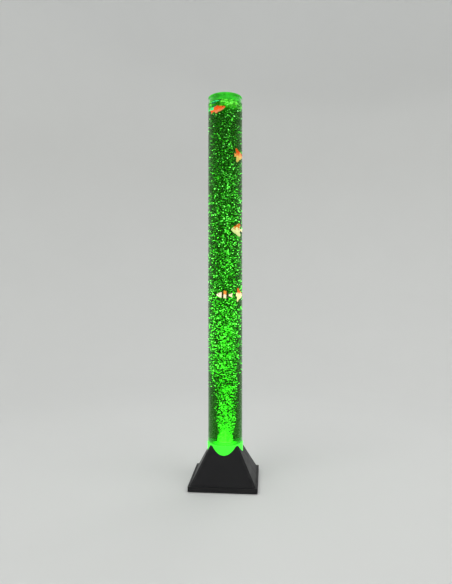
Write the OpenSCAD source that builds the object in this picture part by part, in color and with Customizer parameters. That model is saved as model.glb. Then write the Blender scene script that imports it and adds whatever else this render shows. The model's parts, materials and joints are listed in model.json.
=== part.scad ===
// Bubble tube floor lamp: a clear water column with drifting toy fish, standing in a
// four-sided base that holds the air pump, the coloured lights and the controls.
// Millimetres, +Z up. The origin is on the floor under the middle of the base, and the
// front of the lamp faces -Y, so the controls are at the rear, on +Y.

/* [Lamp] */
// Height of the lamp, from the floor to the top of the cap
lamp_h = 1200; // [1000:10:1400]
// Outside diameter of the clear tube
tube_od = 107; // [103:0.5:109]
// Wall of the clear tube
tube_wall = 3; // [2.5:0.25:4]
// Gap left for glue, and for the skirt of the cap, beside the tube
glue_gap = 0.3; // [0.25:0.05:0.4]
// Air left between the water and the skirt of the cap
air_gap = 1; // [0.5:0.5:10]

/* [Base shell] */
// Width of the base at the floor
base_w = 207; // [200:1:220]
// Height of the ledge where the upright skirt ends and the slopes begin
ledge_h = 16; // [13:0.5:18]
// Width of the ledge
ledge_w = 6; // [4:0.5:8]
// Height of the four peaks of the rim
rim_h = 121; // [115:0.5:125]
// Wall of the base shell
base_wall = 2.6; // [2:0.1:3.2]
// Flat that breaks the four sloping corners, measured into the corner
corner_flat = 4.5; // [1.5:0.25:6]
// Radius of the upright corners of the skirt
skirt_corner_r = 3; // [2:0.5:5]
// Wall of the round sleeve that steadies the column
sleeve_wall = 2.5; // [2:0.25:3.5]
// Clearance between the sleeve and the end plug
socket_gap = 0.5; // [0.3:0.1:0.8]

/* [Base plate] */
// Thickness of the base plate
plate_t = 3; // [2.5:0.25:3.5]
// Clearance round the base plate
plate_gap = 0.3; // [0.2:0.1:0.6]
// How far the skirt hides the edge of the plate
skirt_lip = 0.5; // [0.25:0.25:1]
// Height of the rubber feet
foot_h = 2.5; // [2:0.25:4]
// Radius of the rubber feet
foot_r = 8; // [6:0.5:9]
// Distance of each foot from the sides of the base
foot_inset = 12.5; // [12:0.5:14]
// Distance of each shell screw from the sides of the base
boss_inset = 24.5; // [24:0.5:27]
// Radius of the screw bosses in the shell
boss_r = 4.5; // [4:0.25:5.5]
// Width of the air slots in the plate
slot_w = 3; // [2:0.5:4]
// Length of the air slots in the plate
slot_l = 20; // [12:1:24]

/* [Screws] */
// Shank radius of the plate screws
plate_screw_r = 1.5; // [1.25:0.05:1.6]
// Shank length of the plate screws
plate_screw_l = 12; // [10:0.5:16]
// Head radius of the plate screws
plate_head_r = 3.2; // [2.8:0.1:3.4]
// Head height of the plate screws
plate_head_h = 1.5; // [1.2:0.1:1.6]
// Shank radius of the small screws
small_screw_r = 1; // [0.8:0.05:1.2]
// Head radius of the small screws
small_head_r = 2; // [1.8:0.1:2.4]
// Head height of the small screws
small_head_h = 1.4; // [1.2:0.1:1.6]
// Clearance round a screw's shank
screw_gap = 0.1; // [0.05:0.05:0.2]

/* [Tube seat] */
// Height of the underside of the tube seat
seat_h = 60; // [58:0.5:64]
// Thickness of the seat's floor
seat_t = 3; // [2.5:0.25:4]
// Height of the seat's rim, up to the shell's sleeve
seat_rim_h = 6; // [5.5:0.25:8]
// Radius of the seat's four legs
leg_r = 5; // [4.5:0.25:5.5]
// Distance of each leg's centre outside the seat's rim
leg_reach = 20.7; // [19:0.1:22]
// Thickness of the rubber gasket under the end plug
gasket_t = 2; // [1:0.25:2.5]

/* [End plug] */
// Wall of the collar that grips the tube from outside
collar_wall = 1.7; // [1.4:0.1:2.2]
// How far the collar shows above the peaks of the base
collar_show = 2.5; // [1.5:0.5:8]
// How far the collar stands above the water's floor
collar_lip = 1; // [0.5:0.25:2]
// Depth of tube held in the plug's groove
grip_h = 19.5; // [15:0.5:24]
// Thickness of the floor under the water
floor_t = 10.5; // [9:0.5:12]
// Wall of the spigot inside the tube
spigot_wall = 4.2; // [3.8:0.1:5]
// Section radius of the sealing ring
seal_r = 1.25; // [1:0.05:1.4]

/* [Cap] */
// Thickness of the cap's disc
cap_t = 6; // [4:0.5:8]
// Depth of the skirt that drops into the tube
cap_skirt_h = 14; // [10:0.5:18]
// Wall of that skirt
cap_wall = 2.5; // [2:0.25:3.5]
// Radius of the vent in the cap
vent_r = 6; // [5:0.5:9]
// Bevel on the cap's upper edge
cap_bevel = 1; // [0.5:0.25:1.5]

/* [Air nozzle] */
// Radius of the nozzle's stem
stem_r = 6; // [5:0.25:7]
// Radius of the nozzle's flange
flange_r = 14; // [12:0.5:16]
// Thickness of the nozzle's flange
flange_t = 3.5; // [3:0.25:5]
// Thickness of the rubber washer
washer_t = 1.5; // [1:0.25:2]
// Radius of the porous stone
stone_r = 13; // [10:0.5:15]
// Height of the porous stone
stone_h = 14; // [10:0.5:18]
// Radius across the corners of the nut
nut_r = 10; // [9:0.25:12]
// Height of the nut
nut_h = 6; // [5:0.25:7]
// Inside radius of the air hose
hose_bore_r = 2.3; // [2.2:0.05:2.6]
// Outside radius of the air hose
hose_r = 4; // [3.5:0.1:4.4]
// Radius of the barbs that the hose is pushed on to
barb_r = 1.95; // [1.8:0.05:2]
// Length of each barb
barb_l = 8; // [7:0.25:9]
// Radius of the check valve
valve_r = 6; // [5:0.25:7]
// Length of the check valve's body
valve_l = 22; // [20:0.5:23]
// Height of the lower end of the check valve's body
valve_z = 44; // [43:0.5:46]

/* [Pump] */
// Width of the pump, left to right
pump_w = 64; // [64:0.5:68]
// Depth of the pump, front to rear
pump_d = 48; // [47:0.5:50]
// Height of the pump's housing without its cover
pump_h = 29.5; // [29:0.5:31]
// Wall of the pump's housing
pump_wall = 2; // [1.6:0.1:2.2]
// Thickness of the pump's cover
pump_cover_t = 2.5; // [2:0.25:3]
// Height of the rubber grommets under the pump
grommet_h = 3; // [2.5:0.25:4]
// Radius of the grommets
grommet_r = 5; // [4:0.25:5.5]
// Radius of the arm's pivot pin
pivot_r = 1.5; // [1.2:0.05:1.7]
// Running clearance round the pivot pin
pivot_gap = 0.08; // [0.04:0.01:0.1]
// Gap between the magnet and the poles of the core
pole_gap = 2; // [1.6:0.1:2.4]
// Radius of the diaphragm's rim
diaphragm_r = 9; // [8:0.25:10]

/* [Lights] */
// Number of lights of each colour
lights_each = 4; // [3:1:5]
// Radius of the ring that the lights stand on
light_ring_r = 28; // [25:0.5:32]
// Radius of one light
light_r = 2.5; // [1.5:0.25:2.75]
// Height of one light, with its dome
light_h = 8; // [6:0.25:8.5]
// Radius of the hole in the middle of the light board
light_board_hole_r = 14; // [12:0.5:17]
// Thickness of the circuit boards
board_t = 1.6; // [1:0.2:2]
// Height of the spacers over the light board
spacer_h = 8; // [7:0.5:8.5]
// Radius of those spacers
spacer_r = 3; // [2.5:0.25:3.5]

/* [Control board] */
// Width of the control board
control_w = 80; // [76:1:86]
// Depth of the control board
control_d = 34; // [32:0.5:36]
// Height of the posts under the control board
post_h = 4; // [3:0.25:5]
// Radius of those posts
post_r = 3; // [2.5:0.25:3.5]

/* [Controls] */
// Height where the rear panel meets the slope of the base
panel_top = 52; // [50:0.5:54]
// Height of the floor of the rear recess
recess_floor = 20; // [19:0.5:22]
// Width of the rear recess
recess_w = 80; // [74:1:90]
// Width of the rocker switch's frame
switch_w = 15; // [14:0.5:16]
// Height of the rocker switch's frame
switch_h = 21; // [20:0.5:23]
// Thickness of the rocker switch's frame in front of the panel
switch_lip = 2; // [1.5:0.25:2.5]
// Angle that the rocker leans to each side
rocker_lean = 9; // [6:0.5:10]
// Radius of the colour button's cap
button_r = 3.3; // [2.8:0.1:3.8]
// Travel of the colour button
button_travel = 1.5; // [1:0.1:1.8]
// Radius of the power socket's barrel
jack_r = 5.4; // [5:0.1:6]
// Radius of the socket's mouth
jack_bore_r = 2.8; // [2.6:0.1:3.2]
// Radius of the contact pin in the socket
jack_pin_r = 1.05; // [0.9:0.05:1.2]

/* [Fish] */
// Length of the two long fish
long_fish_l = 47; // [40:0.5:48]
// Length of the small fish
small_fish_l = 34; // [28:0.5:38]
// Length of the three tall fish
tall_fish_l = 35; // [30:0.5:37]
// Half the height of the orange fish
orange_half_h = 8.5; // [7:0.25:10]
// Half the height of the banded fish
banded_half_h = 10; // [8:0.25:11]
// Half the height of the small fish
small_half_h = 6.6; // [5:0.2:8]
// Half the height of the amber and the gold fish
tall_half_h = 14.5; // [12:0.25:15]
// Half the height of the coral fish
coral_half_h = 13.5; // [12:0.25:15]
// Half the thickness of the long fish
long_half_t = 6; // [4.5:0.25:6.5]
// Half the thickness of the small fish
small_half_t = 4.6; // [3.5:0.1:5.5]
// Half the thickness of the tall fish
tall_half_t = 5.5; // [4:0.25:6]
// Thickness of the fins
fin_t = 1.4; // [1:0.1:2]

/* [Hidden] */
$fn = 64;

eps = 0.01;

// Heights, from the floor up
plate_z0 = foot_h;
plate_z1 = plate_z0 + plate_t;
shell_z0 = plate_z0 - skirt_lip;
seat_z1 = seat_h + seat_t;
sleeve_z0 = seat_h + seat_rim_h;
plug_z0 = seat_z1 + gasket_t;
plug_z1 = rim_h + collar_show;
floor_z = plug_z1 - collar_lip;
well_z = floor_z - floor_t;
tube_z0 = plug_z1 - grip_h;
tube_z1 = lamp_h - cap_t;
cap_skirt_z = tube_z1 - cap_skirt_h;
water_z = cap_skirt_z - air_gap;

// Radii of the column
tube_r = tube_od / 2;
tube_ri = tube_r - tube_wall;
plug_r = tube_r + glue_gap + collar_wall;
spigot_r = tube_ri - glue_gap;
well_r = spigot_r - spigot_wall;
hole_r = plug_r + socket_gap;
sleeve_r = hole_r + sleeve_wall;
seat_open_r = well_r - 4;
seat_web_r = seat_open_r + 8;
seat_web_half = leg_r - 1;

// Slopes of the base: half its width at height z, and the wall measured level
ledge_half = base_w / 2 - ledge_w;
peak_half = (hole_r + corner_flat) / sqrt(2);
lean = (ledge_half - peak_half) / (rim_h - ledge_h);
level_wall = base_wall * sqrt(1 + lean * lean);
function half_at(z) = ledge_half - lean * (z - ledge_h);

// Places of the plate's screws, feet and legs
boss_at = base_w / 2 - boss_inset;
foot_at = base_w / 2 - foot_inset;
leg_at = (sleeve_r + leg_reach) / sqrt(2);
head_sink = plate_head_h + 0.1;
plate_hole_gap = 0.3;
foot_bevel = 0.8;
mid_slot_pitch = 2.4 * slot_w;
side_slot_x = foot_at - 14;
side_slot_l = 8;
side_slot_pitch = slot_l / 2 + 2;

// Rear panel and the controls on it
panel_y = half_at(panel_top) - 0.7;
panel_back = panel_y - base_wall;
control_z = (recess_floor + panel_top) / 2;
switch_x = -22;
button_x = 2;
jack_x = 24;
switch_depth = 14;
button_depth = 12;
jack_depth = 12;
tab_at = 2.4;
tab_l = 4;
blade_l = 5;
rocker_pivot_y = panel_y - 3;
rocker_pin_r = 0.9;
panel_gap = 0.1;
frame_lap = 0.9;
switch_half_w = switch_w / 2 - frame_lap;
switch_half_h = switch_h / 2 - frame_lap;
button_body_r = button_r + 2.3;
button_well = 9;
bezel_t = 1.5;
cap_depth = 5;
cap_show = button_travel + 2;
spring_wire_r = 0.3;
spring_l = button_well - cap_depth - 0.8;

// Light board, hung under the seat
light_board_z1 = seat_h - spacer_h;
light_board_z0 = light_board_z1 - board_t;
light_board_r = seat_open_r + 8;
spacer_at = seat_open_r + 4.5;

// Control board on the plate
board_z0 = plate_z1 + post_h;
board_z1 = board_z0 + board_t;
board_y1 = panel_y - switch_depth - blade_l - 1.4;
board_y0 = board_y1 - control_d;
connector_h = 6;
connector_d = 5;
connector_w = 11;
connector_z = board_z1 + connector_h;
rear_connector_y = board_y1 - 3.5;
front_connector_y = board_y0 + 3.5;
pump_plug_x = -22;
light_plug_x = 20;
capacitor_xs = [-28, -18, 22];

// Pump: its box, and its works from the core at the left to the head at the right
pump_z0 = plate_z1 + grommet_h;
pump_z1 = pump_z0 + pump_h;
pump_in_z = pump_z0 + pump_wall;
pump_x0 = -36;
pump_x1 = pump_x0 + pump_w;
pump_y0 = -half_at(pump_z1 + pump_cover_t) + level_wall + 6;
pump_y1 = pump_y0 + pump_d;
pump_mid_y = (pump_y0 + pump_y1) / 2;
pump_mid_z = pump_in_z + 13.5;
core_x0 = pump_x0 + pump_wall + 0.5;
core_back = 5;
core_leg_l = 13;
core_half_h = 7;
leg_half = 3;
side_leg_t = 5;
side_leg_y = 8.6;
coil_t = 5;
core_x1 = core_x0 + core_back + core_leg_l;
magnet_x0 = core_x1 + pole_gap;
magnet_x1 = magnet_x0 + 6;
arm_t = 3;
arm_x1 = magnet_x1 + arm_t;
arm_half_h = 6;
arm_boss_r = 3.2;
arm_boss_half_h = 8;
pivot_x = magnet_x1 + arm_t / 2;
pivot_y = pump_y1 - pump_wall - arm_boss_r - 0.8;
arm_l = 34;
arm_tip_y = pivot_y - arm_l;
diaphragm_l = 8.5;
head_x0 = arm_x1 + diaphragm_l;
head_w = 16;
head_half_d = 11;
head_h = 24.5;
outlet_x = head_x0 + 8;
outlet_z = pump_in_z + 9.5;
outlet_tip_y = pump_y1 + barb_l + 0.5;
port_z = [outlet_z, outlet_z + 9];
port_r = 1.2;
port_l = 5;
peg_inset = 6;
peg_r = 1.7;
post_inset = 4;
post_screw_r = 2.6;
pivot_post_r = 3;
neck_r = 3;

// Air line up the middle of the lamp
nut_z0 = well_z - nut_h;
stem_z0 = nut_z0 - 6;
flange_z0 = floor_z + washer_t;
stone_z0 = flange_z0 + flange_t;
stem_gap = 0.3;
seal_z = floor_z - 5.5;
seal_half = seal_r + 0.1;
spout_r = 2.2;
spout_h = 6;
air_bore_r = 1;
valve_z1 = valve_z + valve_l;
chamber_z = valve_z + 9;
disc_r = 4;
disc_t = 1;
disc_travel = 1.5;
hose_end_gap = 0.3;

// Routes of the wires and hoses, chosen by hand between the pieces that they join
wire_r = 0.8;
pair_at = 1.6;
lead_rise = 5;
lead_hole_z = pump_mid_z + 10;
lead_hole_half = 2;
coil_y1 = leg_half + 0.3 + coil_t;
jack_route = [
  [0, panel_y - jack_depth - tab_l, control_z],
  [0, panel_y - jack_depth - tab_l - 3.5, control_z - 0.5],
  [0, rear_connector_y + 0.5, control_z - 6],
  [0, rear_connector_y, connector_z + lead_rise],
  [0, rear_connector_y, connector_z]
];
button_route = [
  [0, panel_y - button_depth, control_z],
  [0, panel_y - button_depth - 5.5, control_z - 0.5],
  [0, rear_connector_y + 1, control_z - 6],
  [0, rear_connector_y, connector_z + lead_rise],
  [0, rear_connector_y, connector_z]
];
function blade_route(drop) = [
  [0, panel_y - switch_depth - blade_l, control_z + drop],
  [0, panel_y - switch_depth - blade_l - 2.5, control_z + drop - 1],
  [0, rear_connector_y + 0.2, control_z + drop - 5],
  [0, rear_connector_y, connector_z + lead_rise - 1],
  [0, rear_connector_y, connector_z]
];
light_route = [
  [0, front_connector_y, connector_z],
  [0, front_connector_y, connector_z + lead_rise + 2],
  [0, front_connector_y - 1.5, (connector_z + light_board_z0) / 2 + 2],
  [0, front_connector_y - 4.5, light_board_z0 - lead_rise],
  [0, front_connector_y - 5.5, light_board_z0]
];
pump_route = [
  [0, front_connector_y, connector_z],
  [0, front_connector_y - 2.5, connector_z + lead_rise],
  [0, front_connector_y - 13.5, connector_z + lead_rise + 4],
  [0, pump_y1 + 18, lead_hole_z - 5],
  [0, pump_y1 + 4, lead_hole_z - 1],
  [0, pump_y1 - 8, lead_hole_z],
  [0, pump_mid_y + coil_y1, lead_hole_z]
];
lower_hose_route = [
  [outlet_x, pump_y1 + 0.4, outlet_z],
  [outlet_x, pump_y1 + barb_l, outlet_z],
  [outlet_x * 0.75, -10, outlet_z + 1.5],
  [outlet_x * 0.33, -3.5, valve_z - 18],
  [outlet_x * 0.08, -0.5, valve_z - 11],
  [0, 0, valve_z - 5],
  [0, 0, valve_z - hose_end_gap]
];
upper_hose_route = [
  [0, 0, valve_z1 + hose_end_gap],
  [0, 0, (valve_z1 + stem_z0) / 2],
  [0, 0, stem_z0 - hose_end_gap]
];

// Fish: bearing round the column, distance from its wall, share of the water's height,
// heading and tilt. The two top fish are just under the surface.
orange_place = [-122.5, 16.6, 0.9766, -12.2, 16];
teal_place = [173, 26, 0.9875, 130, 0];
amber_place = [4.6, 19.5, 0.848, 68, 6];
coral_place = [4.7, 22.5, 0.628, 226, 0];
banded_place = [-89.4, 22, 0.4355, 184.7, 2];
gold_place = [1.2, 17.4, 0.436, 80, -4];

// Outline of a fish's body: share of its length from the nose, half height, half thickness
long_body = [
  [0, 0.04, 0.05], [0.06, 0.3, 0.42], [0.16, 0.62, 0.78], [0.3, 0.92, 1], [0.45, 1, 0.96],
  [0.6, 0.86, 0.76], [0.72, 0.58, 0.5], [0.8, 0.36, 0.32]
];
tall_body = [
  [0, 0.05, 0.06], [0.07, 0.26, 0.4], [0.16, 0.52, 0.74], [0.3, 0.88, 1], [0.46, 1, 0.94],
  [0.6, 0.82, 0.7], [0.71, 0.48, 0.44], [0.79, 0.26, 0.28]
];

// ---------- helpers ----------

module at_corners(d) {
  for (x = [-1, 1], y = [-1, 1]) translate([x * d, y * d, 0]) children();
}

module box(lo, hi) {
  translate(lo) cube(hi - lo);
}

module ring(r_out, r_in, z0, z1) {
  translate([0, 0, z0]) difference() {
    cylinder(r = r_out, h = z1 - z0);
    translate([0, 0, -1]) cylinder(r = r_in, h = z1 - z0 + 2);
  }
}

// Lays a piece that was made upright on the rear panel, facing +Y
module on_panel(x) {
  translate([x, panel_y, control_z]) rotate([-90, 0, 0]) children();
}

// A cross-head screw, with the shank going up from its head's seat at the origin
module screw(shank_r, shank_l, head_r, head_h) {
  difference() {
    union() {
      translate([0, 0, -head_h]) cylinder(r = head_r, h = head_h);
      translate([0, 0, -eps]) cylinder(r = shank_r, h = shank_l + eps);
    }
    for (a = [0, 90]) rotate(a)
      translate([-0.6 * head_r, -0.4, -head_h - 1]) cube([1.2 * head_r, 0.8, 1 + head_h / 2]);
  }
}

module rounded_square(half, r) {
  square([2 * half, 2 * (half - r)], center = true);
  square([2 * (half - r), 2 * half], center = true);
  at_corners(half - r) circle(r = r);
}

// A bar that runs through the middle, with sloping sides, between heights z0 and z1
module sloping_bar(half0, half1, z0, z1) {
  rotate([90, 0, 0]) linear_extrude(height = 2 * base_w, center = true)
    polygon([[-half0, z0], [half0, z0], [half1, z1], [-half1, z1]]);
}

// The four-sided slopes of the base, moved inwards by inset, with flats on the corners
module slopes(z0, z1, inset) {
  h0 = half_at(z0) - inset;
  h1 = half_at(z1) - inset;
  intersection() {
    sloping_bar(h0, h1, z0, z1);
    rotate(90) sloping_bar(h0, h1, z0, z1);
    rotate(45) sloping_bar(h0 * sqrt(2) - corner_flat, h1 * sqrt(2) - corner_flat, z0, z1);
    rotate(-45) sloping_bar(h0 * sqrt(2) - corner_flat, h1 * sqrt(2) - corner_flat, z0, z1);
  }
}

function unit(v) = v / norm(v);
function squared(v) = let (m = max([for (c = v) abs(c)])) [for (c = v) abs(c) == m ? sign(c) : 0];
function heading(p, i) = let (v = p[min(i + 1, len(p) - 1)] - p[max(i - 1, 0)])
  i == 0 || i == len(p) - 1 ? squared(v) : unit(v);
function side_start(t) = abs(t[2]) < 0.9 ? [0, 0, 1] : [1, 0, 0];
function sides_along(p, i, n) = i >= len(p) ? [] :
  let (t = heading(p, i), m = unit(n - (n * t) * t)) concat([m], sides_along(p, i + 1, m));
function through(a, b, c, d, t) = 0.5 * (2 * b + (c - a) * t
  + (2 * a - 5 * b + 4 * c - d) * t * t + (3 * b - a - 3 * c + d) * t * t * t);
function smooth_path(p, n) = concat(
  [for (i = [0 : len(p) - 2], k = [0 : n - 1])
    through(p[max(i - 1, 0)], p[i], p[i + 1], p[min(i + 2, len(p) - 1)], k / n)],
  [p[len(p) - 1]]);
function ring_points(p, r, n) =
  let (m = sides_along(p, 0, side_start(heading(p, 0))))
  [for (i = [0 : len(p) - 1]) let (t = heading(p, i), b = cross(t, m[i]))
    for (k = [0 : n - 1]) p[i] + r * (cos(360 * k / n) * m[i] + sin(360 * k / n) * b)];
function wall_faces(rings, n, first, outward) = [for (i = [0 : rings - 2], k = [0 : n - 1])
  let (a = first + i * n + k, b = first + i * n + (k + 1) % n)
  outward ? [a, a + n, b + n, b] : [b, b + n, a + n, a]];

// A round wire along a path
module wire(path, r, n = 8) {
  rings = len(path);
  polyhedron(
    points = ring_points(path, r, n),
    faces = concat([[for (k = [0 : n - 1]) k]], wall_faces(rings, n, 0, true),
      [[for (k = [n - 1 : -1 : 0]) (rings - 1) * n + k]]),
    convexity = 6);
}

// A hollow hose along a path
module hose(path, n = 8) {
  rings = len(path);
  last = (rings - 1) * n;
  inner = rings * n;
  polyhedron(
    points = concat(ring_points(path, hose_r, n), ring_points(path, hose_bore_r, n)),
    faces = concat(wall_faces(rings, n, 0, true), wall_faces(rings, n, inner, false),
      [for (k = [0 : n - 1]) let (j = (k + 1) % n) [k, j, inner + j, inner + k]],
      [for (k = [0 : n - 1]) let (j = (k + 1) % n)
        [last + j, last + k, inner + last + k, inner + last + j]]),
    convexity = 6);
}

// A hose barb that points up, with two ridges
module barb() {
  ridge = barb_r - 0.35;
  rotate_extrude() polygon([
    [0, 0], [barb_r, 0], [barb_r, 0.6], [ridge, 0.9], [ridge, 2.6], [barb_r, 2.9],
    [ridge, 4.6], [barb_r, 4.9], [1.3, barb_l], [0, barb_l]
  ]);
}

// ---------- base ----------

module shell_outside() {
  translate([0, 0, shell_z0]) linear_extrude(height = ledge_h - shell_z0)
    rounded_square(base_w / 2, skirt_corner_r);
  slopes(ledge_h - 1, rim_h + 8, 0);
}

module shell_inside() {
  translate([0, 0, shell_z0 - 1]) linear_extrude(height = ledge_h - base_wall - shell_z0 + 1)
    rounded_square(base_w / 2 - base_wall, skirt_corner_r - 1);
  slopes(ledge_h - base_wall - 1, rim_h + 4, level_wall);
}

module recess(grow) {
  box([-recess_w / 2 - grow, panel_y - grow, recess_floor - grow],
      [recess_w / 2 + grow, base_w, panel_top + grow]);
}

module base_shell() {
  color([0.06, 0.055, 0.06]) difference() {
    union() {
      difference() {
        shell_outside();
        shell_inside();
      }
      intersection() {
        shell_outside();
        union() {
          translate([0, 0, sleeve_z0]) cylinder(r = sleeve_r, h = rim_h);
          at_corners(boss_at) translate([0, 0, plate_z1]) cylinder(r = boss_r, h = seat_h);
          recess(base_wall);
        }
      }
    }
    translate([0, 0, sleeve_z0 - 1]) cylinder(r = hole_r, h = rim_h);
    recess(0);
    at_corners(boss_at) translate([0, 0, plate_z1 - 1])
      cylinder(r = plate_screw_r + screw_gap, h = plate_screw_l + 1);
    box([switch_x - switch_half_w, panel_back - 1, control_z - switch_half_h],
        [switch_x + switch_half_w, panel_y + 1, control_z + switch_half_h]);
    panel_hole(button_x, button_body_r);
    panel_hole(jack_x, jack_r);
  }
}

module panel_hole(x, r) {
  on_panel(x) translate([0, 0, -base_wall - 1]) cylinder(r = r + panel_gap, h = base_wall + 2);
}

module base_plate() {
  color([0.09, 0.09, 0.1]) difference() {
    union() {
      translate([0, 0, plate_z0]) linear_extrude(height = plate_t)
        rounded_square(base_w / 2 - base_wall - plate_gap, skirt_corner_r - 1);
      board_corners() translate([0, 0, plate_z1 - eps]) cylinder(r = post_r, h = post_h + eps);
    }
    at_corners(boss_at) plate_hole();
    at_corners(leg_at) plate_hole();
    board_corners() translate([0, 0, plate_z0 - 1])
      cylinder(r = small_screw_r + screw_gap, h = plate_t + post_h + 2);
    for (x = [-side_slot_x, side_slot_x], k = [-2 : 2])
      translate([x, k * side_slot_pitch, 0]) plate_slot(side_slot_l);
    for (k = [-3 : 3])
      translate([k * mid_slot_pitch, 0, 0]) plate_slot(slot_l);
  }
}

module plate_slot(l) {
  translate([-slot_w / 2, -l / 2, plate_z0 - 1]) cube([slot_w, l, plate_t + 2]);
}

module plate_hole() {
  translate([0, 0, plate_z0 - 1]) {
    cylinder(r = plate_screw_r + plate_hole_gap, h = plate_t + 2);
    cylinder(r = plate_head_r + plate_hole_gap, h = head_sink + 1);
  }
}

module plate_screws() {
  color([0.6, 0.6, 0.62]) for (d = [boss_at, leg_at]) at_corners(d)
    translate([0, 0, plate_z0 + head_sink])
      screw(plate_screw_r, plate_screw_l, plate_head_r, plate_head_h);
}

module rubber_feet() {
  color([0.04, 0.04, 0.04]) at_corners(foot_at) rotate_extrude()
    polygon([[0, 0], [foot_r - foot_bevel, 0], [foot_r, foot_bevel], [foot_r, foot_h],
             [0, foot_h]]);
}

// ---------- column ----------

module tube_seat() {
  color([0.12, 0.12, 0.13]) difference() {
    union() {
      ring(sleeve_r, seat_open_r, seat_h, seat_z1);
      ring(sleeve_r, hole_r, seat_z1 - eps, sleeve_z0);
      at_corners(leg_at) translate([0, 0, plate_z1]) cylinder(r = leg_r, h = seat_z1 - plate_z1);
      for (a = [45 : 90 : 315]) rotate(a)
        box([seat_web_r, -seat_web_half, seat_h], [leg_at * sqrt(2), seat_web_half, seat_z1]);
    }
    at_corners(leg_at) translate([0, 0, plate_z1 - 1])
      cylinder(r = plate_screw_r + screw_gap, h = plate_screw_l + 1);
    light_fixings() translate([0, 0, seat_h - 1])
      cylinder(r = small_screw_r + screw_gap, h = seat_t + 2);
  }
}

module seat_gasket() {
  color([0.15, 0.15, 0.15]) ring(plug_r, well_r, seat_z1, plug_z0);
}

module end_plug() {
  seal_in = spigot_r - seal_r * 1.9;
  color([0.35, 0.95, 0.4, 0.5]) rotate_extrude() polygon([
    [well_r, plug_z0], [plug_r, plug_z0], [plug_r, plug_z1], [tube_r + glue_gap, plug_z1],
    [tube_r + glue_gap, tube_z0], [spigot_r, tube_z0], [spigot_r, seal_z - seal_half],
    [seal_in, seal_z - seal_half], [seal_in, seal_z + seal_half],
    [spigot_r, seal_z + seal_half], [spigot_r, floor_z], [stem_r + stem_gap, floor_z],
    [stem_r + stem_gap, well_z], [well_r, well_z]
  ]);
}

module plug_seal() {
  seal_mid_r = tube_ri - seal_r - 0.05;
  color([0.1, 0.1, 0.1]) rotate_extrude() translate([seal_mid_r, seal_z])
    circle(r = seal_r);
}

module clear_tube() {
  color([0.8, 0.95, 0.85, 0.25]) ring(tube_r, tube_ri, tube_z0, tube_z1);
}

module top_cap() {
  skirt_r = tube_ri - glue_gap;
  color([0.35, 0.95, 0.4, 0.6]) rotate_extrude() polygon([
    [vent_r, tube_z1], [skirt_r - cap_wall, tube_z1], [skirt_r - cap_wall, cap_skirt_z],
    [skirt_r, cap_skirt_z], [skirt_r, tube_z1], [tube_r, tube_z1],
    [tube_r, lamp_h - cap_bevel], [tube_r - cap_bevel, lamp_h], [vent_r, lamp_h]
  ]);
}

// ---------- air line ----------

module air_nozzle() {
  color([0.75, 0.78, 0.76]) difference() {
    union() {
      translate([0, 0, stem_z0]) cylinder(r = stem_r, h = flange_z0 - stem_z0 + eps);
      translate([0, 0, flange_z0]) cylinder(r = flange_r, h = flange_t);
      translate([0, 0, stone_z0 - eps]) cylinder(r = spout_r, h = spout_h);
      translate([0, 0, stem_z0 + eps]) mirror([0, 0, 1]) barb();
    }
    translate([0, 0, stem_z0 - barb_l - 1])
      cylinder(r = air_bore_r, h = stone_z0 + spout_h - stem_z0 + barb_l + 2);
  }
}

module nozzle_washer() {
  color([0.12, 0.12, 0.12]) ring(flange_r - 1, stem_r + stem_gap, floor_z, flange_z0);
}

module nozzle_nut() {
  color([0.7, 0.72, 0.7]) translate([0, 0, nut_z0]) difference() {
    cylinder(r = nut_r, h = nut_h, $fn = 6);
    translate([0, 0, -1]) cylinder(r = stem_r + 0.15, h = nut_h + 2);
  }
}

module porous_stone() {
  color([0.55, 0.56, 0.5]) difference() {
    rotate_extrude() polygon([
      [0, stone_z0], [stone_r, stone_z0], [stone_r, stone_z0 + stone_h - 2],
      [stone_r - 2, stone_z0 + stone_h], [0, stone_z0 + stone_h]
    ]);
    translate([0, 0, stone_z0 - 1]) cylinder(r = spout_r + 0.2, h = spout_h + 1.5);
  }
}

module upper_hose() {
  color([0.85, 0.9, 0.85, 0.6]) hose(smooth_path(upper_hose_route, 2));
}

module lower_hose() {
  color([0.85, 0.9, 0.85, 0.6]) hose(smooth_path(lower_hose_route, 3));
}

module check_valve() {
  color([0.2, 0.35, 0.75]) difference() {
    union() {
      translate([0, 0, valve_z]) cylinder(r = valve_r, h = valve_l);
      translate([0, 0, valve_z1 - eps]) barb();
      translate([0, 0, valve_z + eps]) mirror([0, 0, 1]) barb();
    }
    translate([0, 0, valve_z - barb_l - 1]) cylinder(r = air_bore_r, h = valve_l + 2 * barb_l + 2);
    translate([0, 0, chamber_z]) cylinder(r = disc_r + 0.4, h = disc_t + disc_travel);
    translate([0, 0, chamber_z]) cylinder(r = disc_r - 1, h = disc_t + disc_travel + 3);
  }
}

module valve_disc() {
  color([0.1, 0.1, 0.1]) translate([0, 0, chamber_z]) cylinder(r = disc_r, h = disc_t);
}

// ---------- pump ----------

module at_pump(inset) {
  for (x = [pump_x0 + inset, pump_x1 - inset], y = [pump_y0 + inset, pump_y1 - inset])
    translate([x, y, 0]) children();
}

module core_ribs(z0, z1, x1) {
  for (s = [-1, 1]) box(
    [core_x0, pump_mid_y + s * (side_leg_y + side_leg_t / 2) - side_leg_t / 2, z0],
    [x1, pump_mid_y + s * (side_leg_y + side_leg_t / 2) + side_leg_t / 2, z1]);
}

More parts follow.
